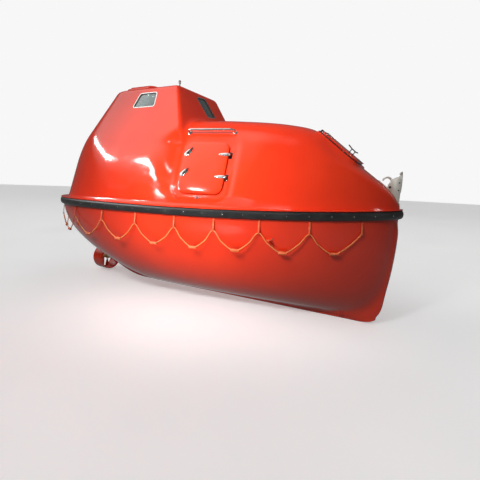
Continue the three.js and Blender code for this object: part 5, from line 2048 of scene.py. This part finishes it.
@dataclass(frozen=True)
class SternGear:
    """Steering nozzle on its stock, with the propeller and shaft inside it."""

    x: float = -2.04
    z: float = -0.385
    tip: float = 0.168
    blades: int = 4

    def nozzle(self) -> list[Sheet]:
        """A duct with a foil section, a palm for the stock and a fin behind the propeller."""
        where = place(np.array([self.x, 0, self.z]), UPRIGHT, FORE_AND_AFT)
        t = np.linspace(0, 2 * math.pi, 33)
        long = 0.11 * np.cos(t)
        thick = 0.0115 * np.sin(t) * (1 + 0.35 * np.cos(t))
        section = [(0.1925 + a - 0.004 * math.cos(b / 0.11), b) for a, b in zip(thick, long)]
        sheets = [Sheet(lathe(section, 72)).on(where)]
        up = place(np.array([self.x, 0, 0]), FORE_AND_AFT, UPRIGHT)
        sheets.append(slab(rounded(0.12, 0.07, 0.02, 5), self.z + 0.186, self.z + 0.2175, 0.004).on(up))
        side = Place(np.array([self.x, 0, self.z]), FORE_AND_AFT, UPRIGHT, -ATHWART)
        fin = drawn(
            [
                (-0.215, -0.168), (-0.15, -0.176), (-0.075, -0.186), (-0.07, 0.0), (-0.075, 0.186),
                (-0.15, 0.176), (-0.215, 0.168), (-0.215, 0.0),
            ],
            2,
        )
        sheets.append(slab(fin, -0.007, 0.007, 0.0045).on(side))
        sheets += [
            bolt(0.008, 0.006).on(up.shifted(x=sx * 0.042, y=sy * 0.022, z=self.z + 0.217))
            for sx in (-1, 1)
            for sy in (-1, 1)
        ]
        return sheets

    def propeller(self) -> list[Sheet]:
        """A hub with a cone, and blades that twist as they go out.

        A blade point at radius r turns out of the disc by the pitch angle, atan(pitch / r).
        """
        where = place(np.array([self.x, 0, self.z]), UPRIGHT, FORE_AND_AFT)
        hub = [
            (0, -0.04), (0.012, -0.039), (0.022, -0.034), (0.029, -0.022), (0.033, 0.0), (0.034, 0.042),
            (0.0186, 0.042), (0, 0.042),
        ]
        sheets = [Sheet(lathe(hub, 32)).on(where)]
        r = np.linspace(0.024, self.tip, 15)
        share = (r - r[0]) / (r[-1] - r[0])
        chord = 0.118 * np.sqrt(
            np.maximum(1 - (1.72 * share - 0.78) ** 4 * 0.98, 0.02)
        ) * (0.55 + 0.45 * np.minimum(share * 2.2, 1))
        pitch = np.arctan2(0.055, r)
        t = np.linspace(0, 2 * math.pi, 25)
        across = chord[:, None] / 2 * np.cos(t) + 0.012 * share[:, None] ** 2
        thick = (0.006 * (1 - share) + 0.0022)[:, None] * np.sin(t)
        x = across * np.cos(pitch)[:, None] - thick * np.sin(pitch)[:, None]
        z = across * np.sin(pitch)[:, None] + thick * np.cos(pitch)[:, None]
        z = np.clip(z, -0.05, 0.05)
        height = np.sqrt(np.maximum(r[:, None] ** 2 - x**2, 1e-6))
        grid = np.stack([x, height, z], -1)
        grid[:, -1] = grid[:, 0]
        sheets += [
            Sheet(grid, ends=True).on(where.turned(360 * k / self.blades))
            for k in range(self.blades)
        ]
        return sheets

    def build(self) -> None:
        """Makes the nozzle, its stock, the propeller and the shaft."""
        fasten(
            thing("nozzle_duct", self.nozzle(), [ORANGE, STEEL]), "nozzle", ("steering_nozzle",),
        )
        up = place(np.array([self.x, 0, GUNWALE]), FORE_AND_AFT, UPRIGHT)
        stock = [
            (0, -0.7667), (0.021, -0.7667), (0.022, -0.765), (0.022, -0.345), (0.019, -0.34), (0, -0.34)
        ]
        fasten(
            thing("stock_bar", [Sheet(lathe(stock, 32)).on(up)], [STEEL]), "nozzle", ("nozzle_stock",),
        )
        fasten(thing("propeller_bronze", self.propeller(), [BRONZE]), "propeller", ("propeller",))
        abaft = place(np.array([0, 0, self.z]), UPRIGHT, FORE_AND_AFT)
        shaft = [
            (0, -1.9977), (0.017, -1.9977), (0.018, -1.9967), (0.018, -1.401), (0.017, -1.4), (0, -1.4)
        ]
        fasten(
            thing("shaft_bar", [Sheet(lathe(shaft, 28)).on(abaft)], [STEEL]), "propeller",
            ("propeller_shaft",),
        )


# Lamp and inside


@dataclass(frozen=True)
class Fitout:
    """Roof lamp, helm wheel and seat, engine box, instruments, belts, and finishes of the rest inside."""

    def lamp(self) -> None:
        """A flanged foot, a mast and a ribbed lens under a cap."""
        where = place(np.array([-0.54, 0, 1.5403 + GUNWALE]), FORE_AND_AFT, UPRIGHT)
        foot = [
            (0, 0), (0.034, 0), (0.034, 0.004), (0.03, 0.007), (0.013, 0.012), (0.0085, 0.024),
            (0.0075, 0.146),
        ]
        foot += [(0.014, 0.149), (0.0165, 0.152), (0, 0.153)]
        ribs = [(0.0155 + 0.001 * (k % 2), 0.153 + 0.0016 * k) for k in range(15)]
        lens = [(0, 0.152), *ribs, (0, 0.176)]
        cap = [
            (0, 0.175), (0.0175, 0.1755), (0.0185, 0.178), (0.0165, 0.1845), (0.011, 0.1895), (0, 0.1916)
        ]
        sheets = [Sheet(lathe(foot, 28), 1), Sheet(lathe(lens, 32)), Sheet(lathe(cap, 28), 2)]
        made = thing("roof_lamp", [s.on(where) for s in sheets], [LAMP, DARK_STEEL, GASKET])
        fasten(made, "boat", ("position_lamp",))

    def wheel(self) -> None:
        """A rim with finger grips, three dished spokes and a hub."""
        axis = unit(np.array([-math.cos(math.radians(15)), 0, math.sin(math.radians(15))]))
        where = place(np.array([-0.64, 0, 0.66 + GUNWALE]), ATHWART, axis)
        a = np.linspace(0, 2 * math.pi, 97)
        path = np.stack([0.175 * np.cos(a), 0.175 * np.sin(a), 0 * a], -1)
        b = np.linspace(0, 2 * math.pi, 13)
        size = 0.0125 * (1 - 0.06 * np.cos(24 * a))
        out = np.stack([np.cos(a), np.sin(a), 0 * a], -1)
        rim = path[:, None] + size[:, None, None] * (
            np.cos(b)[None, :, None] * out[:, None] + np.sin(b)[None, :, None] * UPRIGHT
        )
        sheets = [Sheet(rim).on(where)]
        hub = [(0, -0.022), (0.036, -0.022), (0.04, -0.018), (0.04, 0.012), (0.034, 0.02), (0, 0.022)]
        sheets.append(Sheet(lathe(hub, 32)).on(where))
        for angle in (90, 210, 330):
            t = np.linspace(0.02, 0.17, 12)
            spoke = np.stack([t, 0 * t, -0.006 * np.sin(math.pi * (t - 0.02) / 0.15)], -1)
            section = rounded(0.02, 0.009, 0.004, 3)[0]
            side = np.broadcast_to(ATHWART, spoke.shape)
            grid = sweep(spoke, section, side, np.broadcast_to(UPRIGHT, spoke.shape))
            sheets.append(Sheet(grid, 1, None, True).on(where.turned(angle)))
        fasten(thing("wheel_rim", sheets, [VINYL, STEEL]), "helm_wheel", ("helm_wheel",))

    def seat(self) -> None:
        """A post with a pan and two back bars on the engine box, and a stuffed seat and back."""
        where = place(np.array([-1.08, 0, 0]), FORE_AND_AFT, UPRIGHT)
        post = [
            (0, 0.2003), (0.11, 0.2003), (0.11, 0.207), (0.06, 0.215), (0.054, 0.24), (0.054, 0.62),
            (0.058, 0.625),
        ]
        post += [(0.058, 0.65), (0.042, 0.66), (0.042, 1.02), (0.07, 1.045), (0, 1.046)]
        sheets = [
            Sheet(lathe(post, 36)).on(where), slab(rounded(0.34, 0.36, 0.05), 1.044, 1.062, 0.003).on(where)
        ]
        for y in (-0.11, 0.11):
            corners = [(-0.1, y, 1.052), (-0.225, y, 1.052), (-0.238, y, 1.3), (-0.252, y, 1.4)]
            path = bent([where.out(np.array(c)) for c in corners], 0.05)
            sheets.append(tube(path, 0.011, ATHWART, 14))
        sheets += [
            bolt(0.007, 0.005).on(where.turned(a).shifted(x=0.09, z=0.2065))
            for a in (45, 135, 225, 315)
        ]
        fasten(thing("helm_seat_stand", sheets, [STEEL]), "boat", ())
        pads = {"seat": (where.shifted(x=0.01, z=1.102), (0.4, 0.42)), "back": (self.back(), (0.36, 0.4))}
        for name, (spot, size) in pads.items():
            thick = 0.062 if name == "seat" else 0.046
            made = thing(
                f"helm_{name}_cushion", [s.on(spot) for s in stuffed(*size, thick, 0.07, 0.009)], [VINYL],
                60,
            )
            fasten(made, "boat", ("helm_seat",) if name == "seat" else ())

    def back(self) -> Place:
        """Frame of the seat's back: x up along it and z forward, out of its face."""
        up = unit(np.array([-0.15, 0, 1.0]))
        return place(np.array([-1.262, 0, 1.33]), up, np.array([1.0, 0, 0.15]))

    def engine_box(self) -> None:
        """Casing over the engine with a lid, louvres in its sides, latches and an exhaust elbow."""
        where = place(np.array([-1.11, 0, 0]), FORE_AND_AFT, UPRIGHT)
        sheets = [slab(rounded(0.524, 0.444, 0.05), -0.3, 0.137, 0.006).on(where)]
        sheets.append(slab(rounded(0.54, 0.46, 0.055), 0.142, 0.2, 0.012).on(where))
        seal = slab(rounded(0.51, 0.43, 0.045), 0.136, 0.143, 0.001)
        sheets.append(Sheet(seal.points, 1, None, True).on(where))
        for way in (-1, 1):
            side = place(where.at + np.array([0, way * 0.222, -0.08]), FORE_AND_AFT, way * ATHWART)
            louvre = slab(rounded(0.3, 0.012, 0.0055, 3), -0.003, 0.009, 0.003)
            sheets += [louvre.on(side.shifted(y=0.032 * k)) for k in range(-3, 4)]
            for x in (-0.17, 0.17):
                latch = slab(rounded(0.024, 0.07, 0.008, 3), 0.0, 0.009, 0.002)
                spot = place(where.at + np.array([x, way * 0.2225, 0.14]), FORE_AND_AFT, way * ATHWART)
                sheets.append(Sheet(latch.points, 2, None, True).on(spot))
        elbow = bent(
            [np.array(c) for c in ((-1.37, 0.1, -0.1), (-1.46, 0.1, -0.1), (-1.46, 0.1, 0.04))], 0.05
        )
        pipe = tube(elbow, 0.03, ATHWART, 20)
        sheets.append(Sheet(pipe.points, 1, None, True))
        made = thing("engine_casing", sheets, [ENGINE, GASKET, STEEL])
        fasten(made, "boat", ("engine",))

    def instruments(self) -> None:
        """Gauges, a compass under its dome and an engine lever on top of the console."""
        top = place(np.array([-0.47, 0, 1.3597]), FORE_AND_AFT, UPRIGHT)
        rim = [(0, 0), (0.036, 0), (0.036, 0.008), (0.033, 0.011), (0.0295, 0.0085), (0, 0.0085)]
        dial = [(0, 0.0084), (0.0292, 0.0084), (0.0292, 0.0094), (0, 0.0098)]
        sheets = []
        for y in (-0.17, -0.085):
            sheets += [
                Sheet(lathe(rim, 28)).on(top.shifted(y=y)), Sheet(lathe(dial, 28), 1).on(top.shifted(y=y))
            ]
        bowl = [(0, 0), (0.055, 0), (0.055, 0.012), (0.05, 0.016), (0, 0.016)]
        turn = np.linspace(0, math.pi / 2, 9)
        dome_line = [(0, 0.0155), *((0.046 * math.cos(a), 0.0155 + 0.034 * math.sin(a)) for a in turn)]
        sheets += [
            Sheet(lathe(bowl, 32), 1).on(top.shifted(y=0.02)),
            Sheet(lathe(dome_line, 32), 2).on(top.shifted(y=0.02)),
        ]
        base = [(0, 0), (0.03, 0), (0.03, 0.01), (0.022, 0.022), (0, 0.026)]
        lever = bent([np.array(c) for c in ((0, 0, 0.01), (0.01, 0, 0.09), (0.03, 0, 0.13))], 0.02)
        knob = [(0, 0), (0.011, 0.004), (0.014, 0.014), (0.011, 0.024), (0, 0.028)]
        spot = top.shifted(y=0.15)
        sheets += [Sheet(lathe(base, 28), 1).on(spot), tube(spot.out(lever), 0.006, ATHWART, 12)]
        sheets.append(
            Sheet(lathe(knob, 20), 1).on(
                place(spot.out(lever[-1] - np.array([0, 0, 0.006])), ATHWART, UPRIGHT)
            )
        )
        fasten(thing("console_instruments", sheets, [STEEL, GASKET, GLASS]), "boat", ())

    def belts(self) -> None:
        """Folded seat belts across both benches, each with a buckle."""
        sheets = []
        for x in np.linspace(-0.52, 1.28, 5):
            spot = place(np.array([x, -0.72, 0.3597]), ATHWART, UPRIGHT)
            strap = slab(rounded(0.3, 0.045, 0.004, 3), 0.0, 0.004, 0.001)
            fold = slab(rounded(0.16, 0.045, 0.004, 3), 0.004, 0.009, 0.0015)
            buckle = slab(rounded(0.05, 0.058, 0.008, 3), 0.006, 0.016, 0.003)
            sheets += [strap.on(spot), fold.on(spot.shifted(x=0.06))]
            sheets.append(Sheet(buckle.points, 1, None, True).on(spot.shifted(x=-0.03)))
        for name in ("starboard", "port"):
            made = [s.mirrored() for s in sheets] if name == "port" else sheets
            fasten(thing(f"seat_belts_{name}", made, [WEBBING, STEEL]), "boat", ())

    def build(self) -> None:
        """Makes the lamp and what is inside, and dresses what stays of the frame."""
        self.lamp()
        self.wheel()
        self.seat()
        self.engine_box()
        self.instruments()
        self.belts()
        for name in ("cabin_sole", "bench_starboard", "bench_port", "helm_console"):
            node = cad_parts[name]
            node.data.materials.clear()
            node.data.materials.append(CREAM.material())


def side_hatches() -> list[Hatch]:
    """The side hatches, hinged on their forward edges."""
    stations = (0.163, -0.115)
    return [
        Hatch("starboard", SIDE_SEAT, 0.545, 0.65, stations, on_y=False),
        Hatch("port", SIDE_SEAT, 0.545, 0.65, stations, on_y=False, mirrored=True),
    ]


def end_hatches() -> list[Hatch]:
    """The hatches on the centreline, hinged on their upper edges."""
    knuckles, ears = (-0.105, 0.105), (-0.15, 0.15)
    return [
        Hatch("bow", BOW_SEAT, 0.48, 0.53, knuckles, ears),
        Hatch("aft", AFT_SEAT, 0.48, 0.47, knuckles, ears),
        Hatch("roof", ROOF_SEAT, 0.6, 0.46, knuckles, ears, crown=0.016),
    ]


def main() -> None:
    """Builds the boat's looks around its frame."""
    logging.basicConfig(level=logging.INFO, format="%(message)s")
    Studio().build()
    Lifelines().build()
    Shell().build()
    Gunwale().build()
    CanopyShell().build()
    for hatch in (*side_hatches(), *end_hatches()):
        hatch.build()
    Dogs().build()
    GrabRails().build()
    LiftingHook("bow", 2.336, 0.366, 1).build()
    LiftingHook("stern", -2.165, 0.33, -1).build()
    SternGear().build()
    Fitout().build()


if __name__ == "__main__":
    main()
